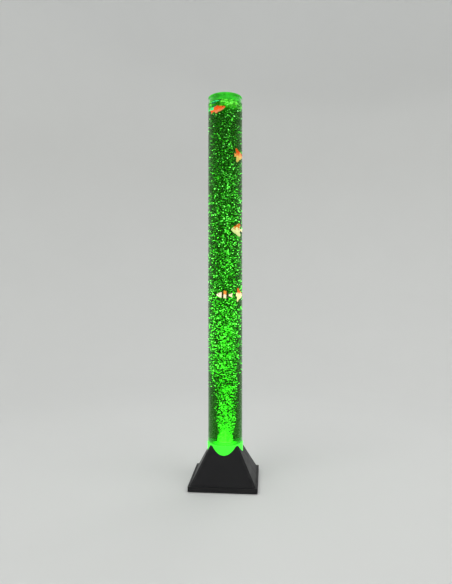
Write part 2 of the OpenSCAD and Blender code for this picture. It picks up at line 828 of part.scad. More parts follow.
module pump_housing() {
  color([0.75, 0.75, 0.77]) difference() {
    union() {
      difference() {
        box([pump_x0, pump_y0, pump_z0], [pump_x1, pump_y1, pump_z1]);
        box([pump_x0 + pump_wall, pump_y0 + pump_wall, pump_in_z],
            [pump_x1 - pump_wall, pump_y1 - pump_wall, pump_z1 + 1]);
      }
      core_ribs(pump_in_z - eps, pump_mid_z - core_half_h, core_x1);
      translate([pivot_x, pivot_y, pump_in_z - eps])
        cylinder(r = pivot_post_r, h = pump_mid_z - arm_boss_half_h - 0.3 - pump_in_z + eps);
      at_pump(post_inset) translate([0, 0, pump_in_z - eps])
        cylinder(r = post_screw_r, h = pump_z1 - pump_in_z + eps);
      at_pump(peg_inset) translate([0, 0, plate_z1 + 0.5])
        cylinder(r = peg_r, h = grommet_h - 0.5 + eps);
    }
    translate([pivot_x, pivot_y, pump_in_z]) cylinder(r = pivot_r + 0.05, h = 12);
    at_pump(post_inset) translate([0, 0, pump_z1 - 10])
      cylinder(r = small_screw_r + screw_gap, h = 12);
    translate([outlet_x, pump_y1 + 1, outlet_z]) rotate([90, 0, 0])
      cylinder(r = neck_r + 0.4, h = pump_wall + 2);
    box([pump_plug_x - 3, pump_y1 - pump_wall - 1, lead_hole_z - lead_hole_half],
        [pump_plug_x + 3, pump_y1 + 1, lead_hole_z + lead_hole_half]);
    for (k = [-2 : 2]) translate([pump_x1 - pump_wall - 1, pump_mid_y + 5 * k - 1, pump_mid_z - 6])
      cube([pump_wall + 2, 2, 12]);
  }
}

module pump_cover() {
  color([0.7, 0.7, 0.72]) difference() {
    union() {
      box([pump_x0, pump_y0, pump_z1], [pump_x1, pump_y1, pump_z1 + pump_cover_t]);
      core_ribs(pump_mid_z + core_half_h + 0.2, pump_z1 + eps, core_x0 + core_back + 2);
      translate([pivot_x, pivot_y, pump_mid_z + arm_boss_half_h + 0.3])
        cylinder(r = pivot_post_r, h = pump_z1 - pump_mid_z - arm_boss_half_h - 0.3 + eps);
    }
    translate([pivot_x, pivot_y, pump_z1 - 12]) cylinder(r = pivot_r + 0.05, h = 12);
    at_pump(post_inset) translate([0, 0, pump_z1 - 1])
      cylinder(r = small_screw_r + screw_gap, h = pump_cover_t + 2);
  }
}

module pump_screws() {
  color([0.6, 0.6, 0.62]) at_pump(post_inset) translate([0, 0, pump_z1 + pump_cover_t])
    rotate([180, 0, 0]) screw(small_screw_r, 8, small_head_r, small_head_h);
}

module pump_grommets() {
  color([0.08, 0.08, 0.08]) at_pump(peg_inset) ring(grommet_r, peg_r + 0.3, plate_z1, pump_z0);
}

module pump_core() {
  half = side_leg_y + side_leg_t;
  color([0.45, 0.45, 0.48]) translate([0, pump_mid_y, pump_mid_z - core_half_h])
    linear_extrude(height = 2 * core_half_h) union() {
      translate([core_x0, -half]) square([core_back, 2 * half]);
      translate([core_x0, -leg_half]) square([core_back + core_leg_l, 2 * leg_half]);
      for (y = [-half, side_leg_y]) translate([core_x0, y])
        square([core_back + core_leg_l, side_leg_t]);
    }
}

module pump_coil() {
  x0 = core_x0 + core_back + 0.3;
  x1 = core_x1 - 2;
  in_y = coil_y1 - coil_t;
  in_z = core_half_h + 0.3;
  color([0.75, 0.4, 0.15]) translate([0, pump_mid_y, pump_mid_z]) difference() {
    box([x0, -coil_y1, -in_z - coil_t], [x1, coil_y1, in_z + coil_t]);
    box([x0 - 1, -in_y, -in_z], [x1 + 1, in_y, in_z]);
  }
}

module pump_arm() {
  color([0.9, 0.88, 0.8]) difference() {
    union() {
      box([magnet_x1, arm_tip_y, pump_mid_z - arm_half_h],
          [arm_x1, pivot_y, pump_mid_z + arm_half_h]);
      translate([pivot_x, pivot_y, pump_mid_z - arm_boss_half_h])
        cylinder(r = arm_boss_r, h = 2 * arm_boss_half_h);
    }
    translate([pivot_x, pivot_y, pump_in_z]) cylinder(r = pivot_r + pivot_gap, h = pump_h);
  }
}

module arm_magnet() {
  color([0.3, 0.3, 0.32]) box([magnet_x0, pump_mid_y - 7, pump_mid_z - arm_half_h],
                              [magnet_x1, pump_mid_y + 7, pump_mid_z + arm_half_h]);
}

module arm_pivot_pin() {
  color([0.8, 0.8, 0.82]) translate([pivot_x, pivot_y, pump_in_z])
    cylinder(r = pivot_r, h = pump_z1 - pump_in_z - 0.2);
}

module pump_diaphragm() {
  tip = 0.2;
  rim_x = diaphragm_l - 1.5;
  color([0.12, 0.12, 0.12]) translate([arm_x1, pump_mid_y, pump_mid_z]) rotate([0, 90, 0])
    rotate_extrude() polygon([
      [0, tip], [3, tip], [3, 2], [diaphragm_r - 2, rim_x], [diaphragm_r, rim_x],
      [diaphragm_r, diaphragm_l], [diaphragm_r - 3, diaphragm_l],
      [diaphragm_r - 3, rim_x + 0.7], [2, 3], [0, 3]
    ]);
}

module pump_head() {
  x1 = head_x0 + head_w;
  color([0.85, 0.85, 0.82]) difference() {
    union() {
      box([head_x0, pump_mid_y - head_half_d, pump_in_z],
          [x1, pump_mid_y + head_half_d, pump_in_z + head_h]);
      translate([outlet_x, pump_mid_y + head_half_d - eps, outlet_z]) rotate([-90, 0, 0])
        cylinder(r = neck_r, h = pump_y1 - pump_mid_y - head_half_d + 2 * eps);
      translate([outlet_x, pump_y1, outlet_z]) rotate([-90, 0, 0]) barb();
    }
    translate([head_x0 - 1, pump_mid_y, pump_mid_z]) rotate([0, 90, 0])
      cylinder(r = diaphragm_r - 3, h = 4);
    for (z = port_z) {
      translate([head_x0, pump_mid_y, z]) rotate([0, 90, 0]) cylinder(r = port_r, h = port_l + 3);
      box([head_x0 + port_l, pump_mid_y - 4, z - 3.5], [x1 - 3, pump_mid_y + 4, z + 3.5]);
    }
    translate([x1 - 4, pump_mid_y, port_z[1]]) rotate([0, 90, 0]) cylinder(r = 1.5, h = 6);
    translate([outlet_x, pump_mid_y, outlet_z]) rotate([-90, 0, 0])
      cylinder(r = air_bore_r, h = outlet_tip_y - pump_mid_y + 2);
  }
}

module pump_valves() {
  color([0.1, 0.1, 0.1]) for (z = port_z)
    translate([head_x0 + port_l, pump_mid_y, z]) rotate([0, 90, 0]) cylinder(r = 3, h = 0.8);
}

// ---------- lights ----------

module light_fixings() {
  for (a = [0 : 90 : 270]) rotate(a) translate([spacer_at, 0, 0]) children();
}

module light_board() {
  color([0.08, 0.3, 0.14]) difference() {
    ring(light_board_r, light_board_hole_r, light_board_z0, light_board_z1);
    light_fixings() translate([0, 0, light_board_z0 - 1])
      cylinder(r = small_screw_r + screw_gap, h = board_t + 2);
  }
}

// Lights stand in turn round the ring: colour 0, 1, 2, and again
module lights(colour) {
  dome_z = light_h - light_r;
  for (k = [0 : lights_each - 1]) rotate((k + colour / 3) * 360 / lights_each + 15)
    translate([light_ring_r, 0, light_board_z1]) rotate_extrude() difference() {
      union() {
        square([light_r, dome_z]);
        square([light_r + 0.4, 1]);
        translate([0, dome_z]) circle(r = light_r);
      }
      translate([-2 * light_r, -light_r]) square([2 * light_r, 3 * light_h]);
    }
}

module red_lights() {
  color([0.8, 0.25, 0.25]) lights(0);
}

module green_lights() {
  color([0.3, 1, 0.35]) lights(1);
}

module blue_lights() {
  color([0.3, 0.4, 0.9]) lights(2);
}

module light_spacers() {
  color([0.85, 0.85, 0.85]) light_fixings()
    ring(spacer_r, small_screw_r + 0.4, light_board_z1, seat_h);
}

module light_screws() {
  color([0.6, 0.6, 0.62]) light_fixings() translate([0, 0, light_board_z0])
    screw(small_screw_r, board_t + spacer_h + seat_t - 0.5, small_head_r, small_head_h);
}

// ---------- control board ----------

module board_corners() {
  for (x = [-1, 1], y = [board_y0 + 4, board_y1 - 4])
    translate([x * (control_w / 2 - 4), y, 0]) children();
}

module control_board() {
  color([0.07, 0.3, 0.15]) difference() {
    box([-control_w / 2, board_y0, board_z0], [control_w / 2, board_y1, board_z1]);
    board_corners() translate([0, 0, board_z0 - 1])
      cylinder(r = small_screw_r + screw_gap, h = board_t + 2);
  }
}

module board_screws() {
  color([0.6, 0.6, 0.62]) board_corners() translate([0, 0, board_z1]) rotate([180, 0, 0])
    screw(small_screw_r, board_t + post_h + 1, small_head_r, small_head_h);
}

module control_chip() {
  pin_pitch = 2.54;
  pin_half = 0.3;
  color([0.1, 0.1, 0.11]) translate([0, (board_y0 + board_y1) / 2 - 1, board_z1]) {
    box([-10, -3.2, 0.6], [10, 3.2, 4]);
    for (k = [-3 : 3], s = [-1, 1]) translate([pin_pitch * k, 0, 0]) {
      box([-pin_half, s * 3.9 - 0.8, 1.6], [pin_half, s * 3.9 + 0.8, 2.2]);
      box([-pin_half, s * 4.4 - pin_half, 0], [pin_half, s * 4.4 + pin_half, 2.2]);
    }
  }
}

module board_capacitors() {
  r = 4;
  tall = 11;
  soft = 0.4;
  color([0.12, 0.14, 0.3]) for (x = capacitor_xs) translate([x, board_y0 + 15, board_z1])
    rotate_extrude() polygon([
      [0, 0], [r - soft, 0], [r, soft], [r, 1.4], [r - soft, 1.4 + soft], [r, 1.4 + 2 * soft],
      [r, tall - soft], [r - soft, tall], [0, tall]
    ]);
}

// Sockets for the leads, open at the top, along the rear and the front of the board
module board_connectors() {
  color([0.92, 0.9, 0.84]) {
    for (x = [switch_x, button_x, jack_x]) connector(x, rear_connector_y);
    for (x = [pump_plug_x, light_plug_x]) connector(x, front_connector_y);
  }
}

module connector(x, y) {
  translate([x, y, board_z1]) difference() {
    box([-connector_w / 2, -connector_d / 2, 0], [connector_w / 2, connector_d / 2, connector_h]);
    for (s = [-1, 1]) translate([s * (connector_w / 2 + 0.5), 0, connector_h / 2])
      cube([2, 2, connector_h + 2], center = true);
  }
}

// ---------- controls on the rear panel ----------

module switch_body() {
  wall = 1.4;
  half_w = switch_half_w - 2 * panel_gap;
  half_h = switch_half_h - 2 * panel_gap;
  color([0.1, 0.1, 0.1]) translate([switch_x, panel_y, control_z]) difference() {
    union() {
      box([-half_w, -switch_depth, -half_h], [half_w, eps, half_h]);
      box([-switch_w / 2, 0, -switch_h / 2], [switch_w / 2, switch_lip, switch_h / 2]);
    }
    box([-half_w + wall, -switch_depth + 4, -half_h + wall],
        [half_w - wall, switch_lip + 1, half_h - wall]);
    translate([-switch_w, rocker_pivot_y - panel_y, 0]) rotate([0, 90, 0])
      cylinder(r = rocker_pin_r + 0.05, h = 2 * switch_w);
  }
}

// The rocker leans with its upper half pressed in, which is on
module switch_rocker() {
  half_w = switch_w / 2 - 2.9;
  half_h = switch_h / 2 - 4.2;
  color([0.35, 0.04, 0.04]) translate([switch_x, rocker_pivot_y, control_z])
    rotate([rocker_lean, 0, 0]) {
      rotate([0, 90, 0]) linear_extrude(height = 2 * half_w, center = true) polygon([
        [-half_h, 3], [-half_h, 5.5], [0, 4.3], [half_h, 5.5], [half_h, 3], [2.5, -2.5],
        [-2.5, -2.5]
      ]);
      rotate([0, 90, 0]) cylinder(r = rocker_pin_r, h = switch_w - 3.2, center = true);
    }
}

module switch_blades() {
  color([0.8, 0.65, 0.3]) for (s = [-1, 1]) box(
    [switch_x - 2.4, panel_y - switch_depth - blade_l, control_z + 4 * s - 0.4],
    [switch_x + 2.4, panel_y - switch_depth, control_z + 4 * s + 0.4]);
}

module button_body() {
  color([0.12, 0.12, 0.12]) on_panel(button_x) difference() {
    union() {
      translate([0, 0, -button_depth]) cylinder(r = button_body_r, h = button_depth + eps);
      cylinder(r = button_body_r + 1.4, h = bezel_t);
    }
    translate([0, 0, -button_well]) cylinder(r = button_r + 0.3, h = button_well + 3);
  }
}

module button_cap() {
  color([0.75, 0.75, 0.76]) on_panel(button_x) rotate_extrude() polygon([
    [0, -cap_depth], [button_r, -cap_depth], [button_r, cap_show - 0.5],
    [button_r - 0.5, cap_show], [0, cap_show]
  ]);
}

module button_spring() {
  turns = 4;
  steps = 12;
  path = [for (k = [0 : turns * steps])
    [(button_r - 1) * cos(360 * k / steps), (button_r - 1) * sin(360 * k / steps),
     spring_l * k / (turns * steps) - button_well + spring_wire_r + 0.1]];
  color([0.7, 0.7, 0.72]) on_panel(button_x) wire(path, spring_wire_r, 6);
}

module power_socket() {
  color([0.08, 0.08, 0.08]) on_panel(jack_x) difference() {
    union() {
      translate([0, 0, -jack_depth]) cylinder(r = jack_r, h = jack_depth + eps);
      cylinder(r = jack_r + 1.2, h = bezel_t);
    }
    translate([0, 0, -jack_depth + 2]) cylinder(r = jack_bore_r, h = jack_depth);
    translate([0, 0, -jack_depth - 1]) cylinder(r = jack_pin_r + 0.05, h = 4);
  }
}

module socket_contacts() {
  color([0.85, 0.7, 0.35]) on_panel(jack_x) {
    translate([0, 0, -jack_depth - 2]) cylinder(r = jack_pin_r, h = jack_depth + 1);
    for (s = [-1, 1]) box([s * tab_at - 0.8, -1.2, -jack_depth - tab_l],
                          [s * tab_at + 0.8, 1.2, -jack_depth]);
  }
}

module socket_nut() {
  thick = 2.5;
  color([0.75, 0.75, 0.77]) on_panel(jack_x) translate([0, 0, -base_wall - thick]) difference() {
    cylinder(r = jack_r + 2.6, h = thick, $fn = 6);
    translate([0, 0, -1]) cylinder(r = jack_r + panel_gap, h = thick + 2);
  }
}

// ---------- leads ----------

module control_leads() {
  color([0.7, 0.1, 0.1]) for (s = [-1, 1]) {
    translate([jack_x + tab_at * s, 0, 0]) wire(smooth_path(jack_route, 4), wire_r);
    translate([button_x + pair_at * s, 0, 0]) wire(smooth_path(button_route, 4), wire_r);
    translate([switch_x + pair_at * s, 0, 0]) wire(smooth_path(blade_route(4 * s), 4), wire_r);
  }
}

module pump_lead() {
  color([0.15, 0.15, 0.6]) for (s = [-1, 1])
    translate([pump_plug_x + pair_at * s, 0, 0]) wire(smooth_path(pump_route, 4), wire_r);
}

module light_lead() {
  color([0.2, 0.6, 0.25]) for (s = [-1.5 : 1 : 1.5])
    translate([light_plug_x + 2.4 * s, 0, 0]) wire(smooth_path(light_route, 4), wire_r);
}

// ---------- fish ----------

// A fish's body along X with its nose at +X, drawn through oval rings
module fish_body(outline, l, half_h, half_t, n = 12) {
  rings = len(outline);
  polyhedron(
    points = [for (s = outline, k = [0 : n - 1])
      [l * (0.5 - s[0]), half_t * s[2] * sin(360 * k / n), half_h * s[1] * cos(360 * k / n)]],
    faces = concat([[for (k = [0 : n - 1]) k]], wall_faces(rings, n, 0, true),
      [[for (k = [n - 1 : -1 : 0]) (rings - 1) * n + k]]),
    convexity = 4);
}

// A thin fin: its outline in the fish's upright plane
module fin(outline) {
  rotate([90, 0, 0]) linear_extrude(height = fin_t, center = true) polygon(outline);
}

module long_fish(l, half_h, half_t) {
  fish_body(long_body, l, half_h, half_t);
  fin([[-0.27 * l, 0.2 * half_h], [-0.27 * l, -0.2 * half_h], [-0.47 * l, -0.85 * half_h],
       [-0.5 * l, -0.5 * half_h], [-0.46 * l, 0], [-0.5 * l, 0.5 * half_h],
       [-0.47 * l, 0.85 * half_h]]);
  fin([[0.22 * l, 0.6 * half_h], [0.14 * l, 1.2 * half_h], [-0.08 * l, 1.35 * half_h],
       [-0.22 * l, 1.1 * half_h], [-0.2 * l, 0.4 * half_h]]);
  fin([[0.02 * l, -0.7 * half_h], [-0.06 * l, -1.25 * half_h], [-0.18 * l, -1.1 * half_h],
       [-0.18 * l, -0.45 * half_h]]);
}

module tall_fish(l, half_h, half_t) {
  fish_body(tall_body, l, half_h, half_t);
  fin([[-0.27 * l, 0.15 * half_h], [-0.27 * l, -0.15 * half_h], [-0.48 * l, -0.55 * half_h],
       [-0.46 * l, 0], [-0.48 * l, 0.55 * half_h]]);
  for (up = [-1, 1]) fin([[0.2 * l, 0.55 * up * half_h], [0.06 * l, 1.2 * up * half_h],
       [-0.22 * l, 1.45 * up * half_h], [-0.26 * l, 1.3 * up * half_h],
       [-0.2 * l, 0.35 * up * half_h]]);
}

module place_fish(place) {
  from_axis = tube_ri - place[1];
  translate([from_axis * cos(place[0]), from_axis * sin(place[0]),
             floor_z + place[2] * (water_z - floor_z)])
    rotate([0, -place[4], place[3]]) children();
}

module orange_fish() {
  color([0.95, 0.35, 0.08]) place_fish(orange_place) long_fish(long_fish_l, orange_half_h, long_half_t);
}

module teal_fish() {
  color([0.1, 0.6, 0.6]) place_fish(teal_place) long_fish(small_fish_l, small_half_h, small_half_t);
}

module amber_fish() {
  color([0.95, 0.55, 0.2]) place_fish(amber_place) tall_fish(tall_fish_l, tall_half_h, tall_half_t);
}

module coral_fish() {
  color([0.95, 0.4, 0.2]) place_fish(coral_place) tall_fish(tall_fish_l, coral_half_h, tall_half_t);
}

module banded_fish() {
  color([0.92, 0.9, 0.85]) place_fish(banded_place) long_fish(long_fish_l, banded_half_h, long_half_t);
}

module gold_fish() {
  color([0.95, 0.6, 0.25]) place_fish(gold_place) tall_fish(tall_fish_l, tall_half_h, tall_half_t);
}

base_shell();
base_plate();
plate_screws();
rubber_feet();
tube_seat();
seat_gasket();
end_plug();
plug_seal();
clear_tube();
top_cap();
air_nozzle();
nozzle_washer();
nozzle_nut();
porous_stone();
upper_hose();
check_valve();
valve_disc();
lower_hose();
pump_housing();
pump_cover();
pump_screws();
pump_grommets();
pump_core();
pump_coil();
pump_arm();
arm_magnet();
arm_pivot_pin();
pump_diaphragm();
pump_head();
pump_valves();
light_board();
red_lights();
green_lights();
blue_lights();
light_spacers();
light_screws();
control_board();
control_chip();
board_capacitors();
board_connectors();
board_screws();
switch_body();
switch_rocker();
switch_blades();
button_body();
button_cap();
button_spring();
power_socket();
socket_contacts();
socket_nut();
control_leads();
pump_lead();
light_lead();
orange_fish();
teal_fish();
amber_fish();
coral_fish();
banded_fish();
gold_fish();
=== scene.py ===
"""Bubble tube floor lamp: the finishes of its solid parts, and the clear tube wall, water,
bubbles, foam and toy fish of its column, on a plain pale floor."""

import json
import math

import bpy
import numpy as np
from bpy.props import FloatProperty, FloatVectorProperty, IntProperty, PointerProperty
from bpy.types import Operator, Panel, PropertyGroup
from mathutils import Euler, Matrix, Vector, geometry, noise


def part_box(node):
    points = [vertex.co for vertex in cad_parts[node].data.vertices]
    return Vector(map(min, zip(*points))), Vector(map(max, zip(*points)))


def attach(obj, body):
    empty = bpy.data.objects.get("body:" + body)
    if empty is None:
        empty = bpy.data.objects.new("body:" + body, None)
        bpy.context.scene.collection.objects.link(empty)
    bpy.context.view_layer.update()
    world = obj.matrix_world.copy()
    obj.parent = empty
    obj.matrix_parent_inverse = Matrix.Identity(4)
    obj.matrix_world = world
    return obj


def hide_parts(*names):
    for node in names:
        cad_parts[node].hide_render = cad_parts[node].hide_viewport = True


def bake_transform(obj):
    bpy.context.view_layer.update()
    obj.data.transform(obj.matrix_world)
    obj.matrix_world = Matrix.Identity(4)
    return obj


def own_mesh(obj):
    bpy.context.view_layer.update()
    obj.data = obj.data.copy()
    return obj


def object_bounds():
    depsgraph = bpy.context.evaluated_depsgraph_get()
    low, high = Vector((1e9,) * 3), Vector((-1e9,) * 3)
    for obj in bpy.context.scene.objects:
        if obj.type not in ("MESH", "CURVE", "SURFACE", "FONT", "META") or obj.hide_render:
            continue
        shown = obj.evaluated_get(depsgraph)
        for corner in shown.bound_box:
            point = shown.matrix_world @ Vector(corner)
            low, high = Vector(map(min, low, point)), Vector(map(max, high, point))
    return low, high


bl_info = {
    "name": "Bubble Tube Floor Lamp",
    "version": (1, 0, 0),
    "blender": (4, 5, 0),
    "location": "3D View > Sidebar > Bubble Lamp",
    "description": "Dresses a bubble tube floor lamp and fills its column",
    "category": "Add Mesh",
}

MM = 0.001
ROUND_SIDES = 144

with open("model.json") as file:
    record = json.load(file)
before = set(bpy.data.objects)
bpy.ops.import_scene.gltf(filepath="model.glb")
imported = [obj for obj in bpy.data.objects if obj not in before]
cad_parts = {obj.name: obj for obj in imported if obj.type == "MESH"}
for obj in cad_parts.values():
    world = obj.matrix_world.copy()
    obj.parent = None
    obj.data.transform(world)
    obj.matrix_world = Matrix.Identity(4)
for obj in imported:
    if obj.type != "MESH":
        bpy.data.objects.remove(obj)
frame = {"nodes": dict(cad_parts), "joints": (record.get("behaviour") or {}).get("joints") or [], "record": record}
CAD_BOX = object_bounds()
NODES = frame["nodes"]
SLOTS = {part["node"]: part["material_slot"] for part in frame["record"]["subparts"]}
JOINTS = {joint["child"]: joint for joint in frame["joints"]}
FISH_NODES = [name for name in NODES if name.endswith("_fish")]


def reach(node):
    """Radius of a round node about the lamp's axis."""
    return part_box(node)[1].x


TUBE_R = reach("clear_tube")
TUBE_BOTTOM, TUBE_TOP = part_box("clear_tube")[0].z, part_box("clear_tube")[1].z
FLOOR_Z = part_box("nozzle_washer")[0].z
SKIRT_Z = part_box("top_cap")[0].z
STONE_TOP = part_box("porous_stone")[1].z
STONE_R = reach("air_nozzle")
# Radius of the lit floor under the water. On it, the glow round the nozzle fades and the glow
# of the rim rises, each between two radii
FLOOR_R = 0.0502
NOZZLE_GLOW = (0.016, 0.03)
RIM_GLOW = (0.048, 0.05)


# ---------- settings ----------


def colour(name, description, default):
    return FloatVectorProperty(
        name=name, description=description, default=default, size=3, min=0, max=1, subtype="COLOR"
    )


def length(name, description, default, low=0.0, high=10.0):
    return FloatProperty(
        name=name, description=description, default=default, min=low, max=high,
        subtype="DISTANCE", unit="LENGTH",
    )


def amount(name, description, default, low=0.0, high=100.0):
    return FloatProperty(name=name, description=description, default=default, min=low, max=high)


def angle(name, description, degrees):
    return FloatProperty(
        name=name, description=description, default=math.radians(degrees), subtype="ANGLE",
        unit="ROTATION",
    )


def count(name, description, default):
    return IntProperty(name=name, description=description, default=default, min=0, max=20000)


class StageSettings(PropertyGroup):
    """Floor, lights and camera."""

    camera_distance: length("Camera distance", "From the lamp's axis to the camera", 1.571)
    camera_height: length("Camera height", "Above the floor", 0.592)
    camera_shift: length("Camera shift", "Camera to the right of the lamp's axis", 0.00245)
    camera_turn: angle("Camera turn", "How far round the lamp the camera stands", 4.7)
    lens: amount("Lens", "Focal length in millimetres, for a 36 mm long side", 30.82, 10, 200)
    floor: colour("Floor", "Colour of the floor and its sweep", (0.64, 0.64, 0.62))
    sweep_radius: length("Sweep radius", "Radius of the round studio sweep", 3.4)
    sweep_height: length("Sweep height", "Height of the studio sweep", 4.6)
    sky: colour("Studio light", "Colour of the light from all round", (0.93, 0.96, 1.0))
    sky_strength: amount("Studio light strength", "Strength of the light from all round", 1.0)
    key_watts: amount("Key light", "Power of the soft key light, in watts", 32, 0, 1000)
    fill_watts: amount("Fill light", "Power of the soft fill light, in watts", 19, 0, 1000)
    rim_watts: amount("Rim light", "Power of the soft light from behind, in watts", 17, 0, 1000)


class ColumnSettings(PropertyGroup):
    """Clear tube, water and glow."""

    wall: length("Tube wall", "Wall of the clear tube", 0.003, 0.001, 0.01)
    polish: length("Polished edge", "Bevel on the tube's rims", 0.0005, 0.0001, 0.002)
    water_lap: length("Water lap", "How far the water laps into what holds it", 0.00005)
    air_gap: length("Air gap", "Between the water and the cap's skirt", 0.001)
    meniscus: length("Meniscus", "How far the water climbs the wall", 0.0008)
    ripple: length("Ripple", "Height of the ripples on the water", 0.0006)
    water_tint: colour("Water tint", "Colour that the water lets through", (0.25, 0.55, 0.0))
    water_depth: amount("Water depth", "How fast the water darkens, per metre", 60, 0, 200)
    glow: colour("Glow", "Colour of the lit acrylic", (0.055, 1.0, 0.04))
    plug_glow: amount("Plug glow", "Strength of the lit end plug", 1.0)
    cap_glow: amount("Cap glow", "Strength of the lit cap", 0.34)
    wall_glow: amount("Wall glow", "Strength of the light that the tube's wall guides", 0.012)


class BubbleSettings(PropertyGroup):
    """Bubbles and foam."""

    seed: count("Seed", "Seed of the bubbles' places", 7)
    radius: length("Bubble radius", "Mean radius of a bubble", 0.00155, 0.0005, 0.004)
    spread: amount("Size spread", "How much the bubbles' sizes differ", 0.28, 0, 1)
    squash: amount("Squash", "Height of a bubble as a share of its width", 0.78, 0.3, 1)
    plume: count("Plume", "Bubbles in the plume over the porous stone", 2600)
    field: count("Field", "Bubbles in the rest of the column", 6600)
    foam: count("Foam", "Bubbles under the water's surface", 2300)
    colour: colour("Bubble", "Colour of a lit bubble", (0.15, 1.0, 0.09))
    faint: colour("Faint bubble", "Colour of a bubble far up the column", (0.22, 0.62, 0.20))
    foam_colour: colour("Foam colour", "Colour of the lit foam", (0.26, 1.0, 0.10))
    glow: amount("Bubble glow", "Strength of the lit bubbles", 4.8)
    foam_glow: amount("Foam glow", "Strength of the lit foam", 0.75)


# Heading and nose-up tilt in degrees, then the colours of the back and of the belly
FISH_LOOKS = {
    "orange": (-12.2, 16, (1.0, 0.085, 0.012), (1.0, 0.30, 0.16)),
    "teal": (130, 0, (0.02, 0.16, 0.26), (0.05, 0.8, 0.66)),
    "amber": (68, 6, (0.95, 0.07, 0.012), (1.0, 0.60, 0.28)),
    "coral": (226, 0, (0.95, 0.16, 0.04), (1.0, 0.9, 0.8)),
    "banded": (184.7, 2, (0.98, 0.30, 0.06), (1.0, 0.90, 0.80)),
    "gold": (80, -4, (0.92, 0.10, 0.02), (1.0, 0.86, 0.7)),
}


class FishSettings(PropertyGroup):
    """Headings and colours of the six toy fish."""

    light: colour("Fish light", "Colour of the light that shows the fish", (1.0, 0.6, 0.9))
    glow: amount("Fish glow", "How strongly the lamp's light shows the fish", 3.2)


def add_fish_settings():
    """Gives the settings a heading, a tilt and two colours for each fish."""
    for fish, (heading, tilt, back, belly) in FISH_LOOKS.items():
        title = fish.title() + " fish "
        FishSettings.__annotations__.update({
            fish + "_heading": angle(title + "heading", "Turn about the column", heading),
            fish + "_tilt": angle(title + "tilt", "Nose up", tilt),
            fish + "_back": colour(title + "back", "Upper side, or saddle", back),
            fish + "_belly": colour(title + "belly", "Under side", belly),
        })


add_fish_settings()


# ---------- finishes ----------


class Finish:
    """A node material, with short calls for the nodes that the finishes share."""

    def __init__(self, name):
        self.material = bpy.data.materials.new(name)
        self.material.use_nodes = True
        self.tree = self.material.node_tree
        self.shader = self.tree.nodes["Principled BSDF"]

    def feed(self, socket, value):
        if isinstance(value, bpy.types.NodeSocket):
            self.tree.links.new(value, socket)
        elif socket.type == "RGBA":
            socket.default_value = (*tuple(value)[:3], 1.0)
        else:
            socket.default_value = value

    def add(self, kind, inputs=None, **settings):
        node = self.tree.nodes.new("ShaderNode" + kind)
        for setting, value in settings.items():
            setattr(node, setting, value)
        for socket, value in (inputs or {}).items():
            self.feed(node.inputs[socket], value)
        return node

    def set(self, **sockets):
        for socket, value in sockets.items():
            label = socket.replace("_", " ").title().replace("Ior", "IOR")
            self.feed(self.shader.inputs[label], value)

    def place(self, stretch=(1, 1, 1)):
        spot = self.add("TexCoord").outputs["Object"]
        if tuple(stretch) == (1, 1, 1):
            return spot
        return self.add("Mapping", {"Vector": spot, "Scale": stretch}).outputs["Vector"]

    def noise(self, size, detail=4, rough=0.6, stretch=(1, 1, 1)):
        """Cloudy noise whose blotches are about size across, in metres."""
        return self.add(
            "TexNoise",
            {"Vector": self.place(stretch), "Scale": 1 / size, "Detail": detail, "Roughness": rough},
        ).outputs["Fac"]

    def bands(self, axis, scale, distortion, detail):
        return self.add(
            "TexWave",
            {"Vector": self.place(), "Scale": scale, "Distortion": distortion, "Detail": detail},
            bands_direction=axis,
        ).outputs["Fac"]

    def cells(self, spots, scale):
        """Distance from the middle of the nearest cell."""
        return self.add("TexVoronoi", {"Vector": spots, "Scale": scale}).outputs["Distance"]

    def math(self, operation, a, b=0.0):
        return self.add("Math", {0: a, 1: b}, operation=operation).outputs[0]

    def times(self, first, *others):
        """The product of all the values."""
        for other in others:
            first = self.math("MULTIPLY", first, other)
        return first

    def span(self, value, low, high, to_low=0.0, to_high=1.0):
        node = self.add(
            "MapRange",
            {"Value": value, "From Min": low, "From Max": high, "To Min": to_low, "To Max": to_high},
        )
        return node.outputs["Result"]

    def mix(self, factor, a, b, blend="MIX"):
        """Two colours, mixed; the node's colour sockets have no names of their own."""
        node = self.add("Mix", data_type="RGBA", blend_type=blend)
        for socket, value in ((0, factor), (6, a), (7, b)):
            self.feed(node.inputs[socket], value)
        return node.outputs[2]

    def shades(self, base, factor, change):
        """The base colour, darkened and lightened by a share where the factor runs from 0 to 1."""
        dark = [c * (1 - change) for c in base]
        light = [min(1.0, c * (1 + change)) for c in base]
        return self.mix(factor, dark, light)

    def bump(self, height, depth):
        node = self.add("Bump", {"Height": height, "Distance": depth, "Strength": 1.0})
        self.feed(self.shader.inputs["Normal"], node.outputs["Normal"])


def moulded(name, base, rough, grain=0.0005, depth=0.00003, change=0.14, shine=0.5):
    """Moulded plastic: satin grain, faint flow marks and a little dust in the shine."""
    finish = Finish(name)
    flow = finish.noise(0.05, 3)
    fine = finish.noise(grain, 2, 0.7)
    finish.set(
        base_color=finish.shades(base, flow, change),
        roughness=finish.span(finish.noise(0.018, 5), 0.3, 0.7, rough - 0.06, rough + 0.08),
        specular_ior_level=shine,
    )
    finish.bump(fine, depth)
    return finish.material


def rubber(name, base):
    """Dull rubber with a fine grain."""
    finish = Finish(name)
    finish.set(
        base_color=finish.shades(base, finish.noise(0.006, 5), 0.3),
        roughness=finish.span(finish.noise(0.002, 4), 0.3, 0.7, 0.72, 0.92),
    )
    finish.bump(finish.noise(0.0004, 3), 0.00005)
    return finish.material


def metal(name, base, rough, stretch=(1, 1, 14)):
    """Metal with fine marks, drawn out by the stretch."""
    finish = Finish(name)
    brushed = finish.noise(0.004, 6, 0.7, stretch)
    finish.set(
        base_color=finish.shades(base, brushed, 0.12),
        roughness=finish.span(brushed, 0.3, 0.7, rough - 0.08, rough + 0.12),
        metallic=1.0,
    )
    finish.bump(brushed, 0.00001)
    return finish.material


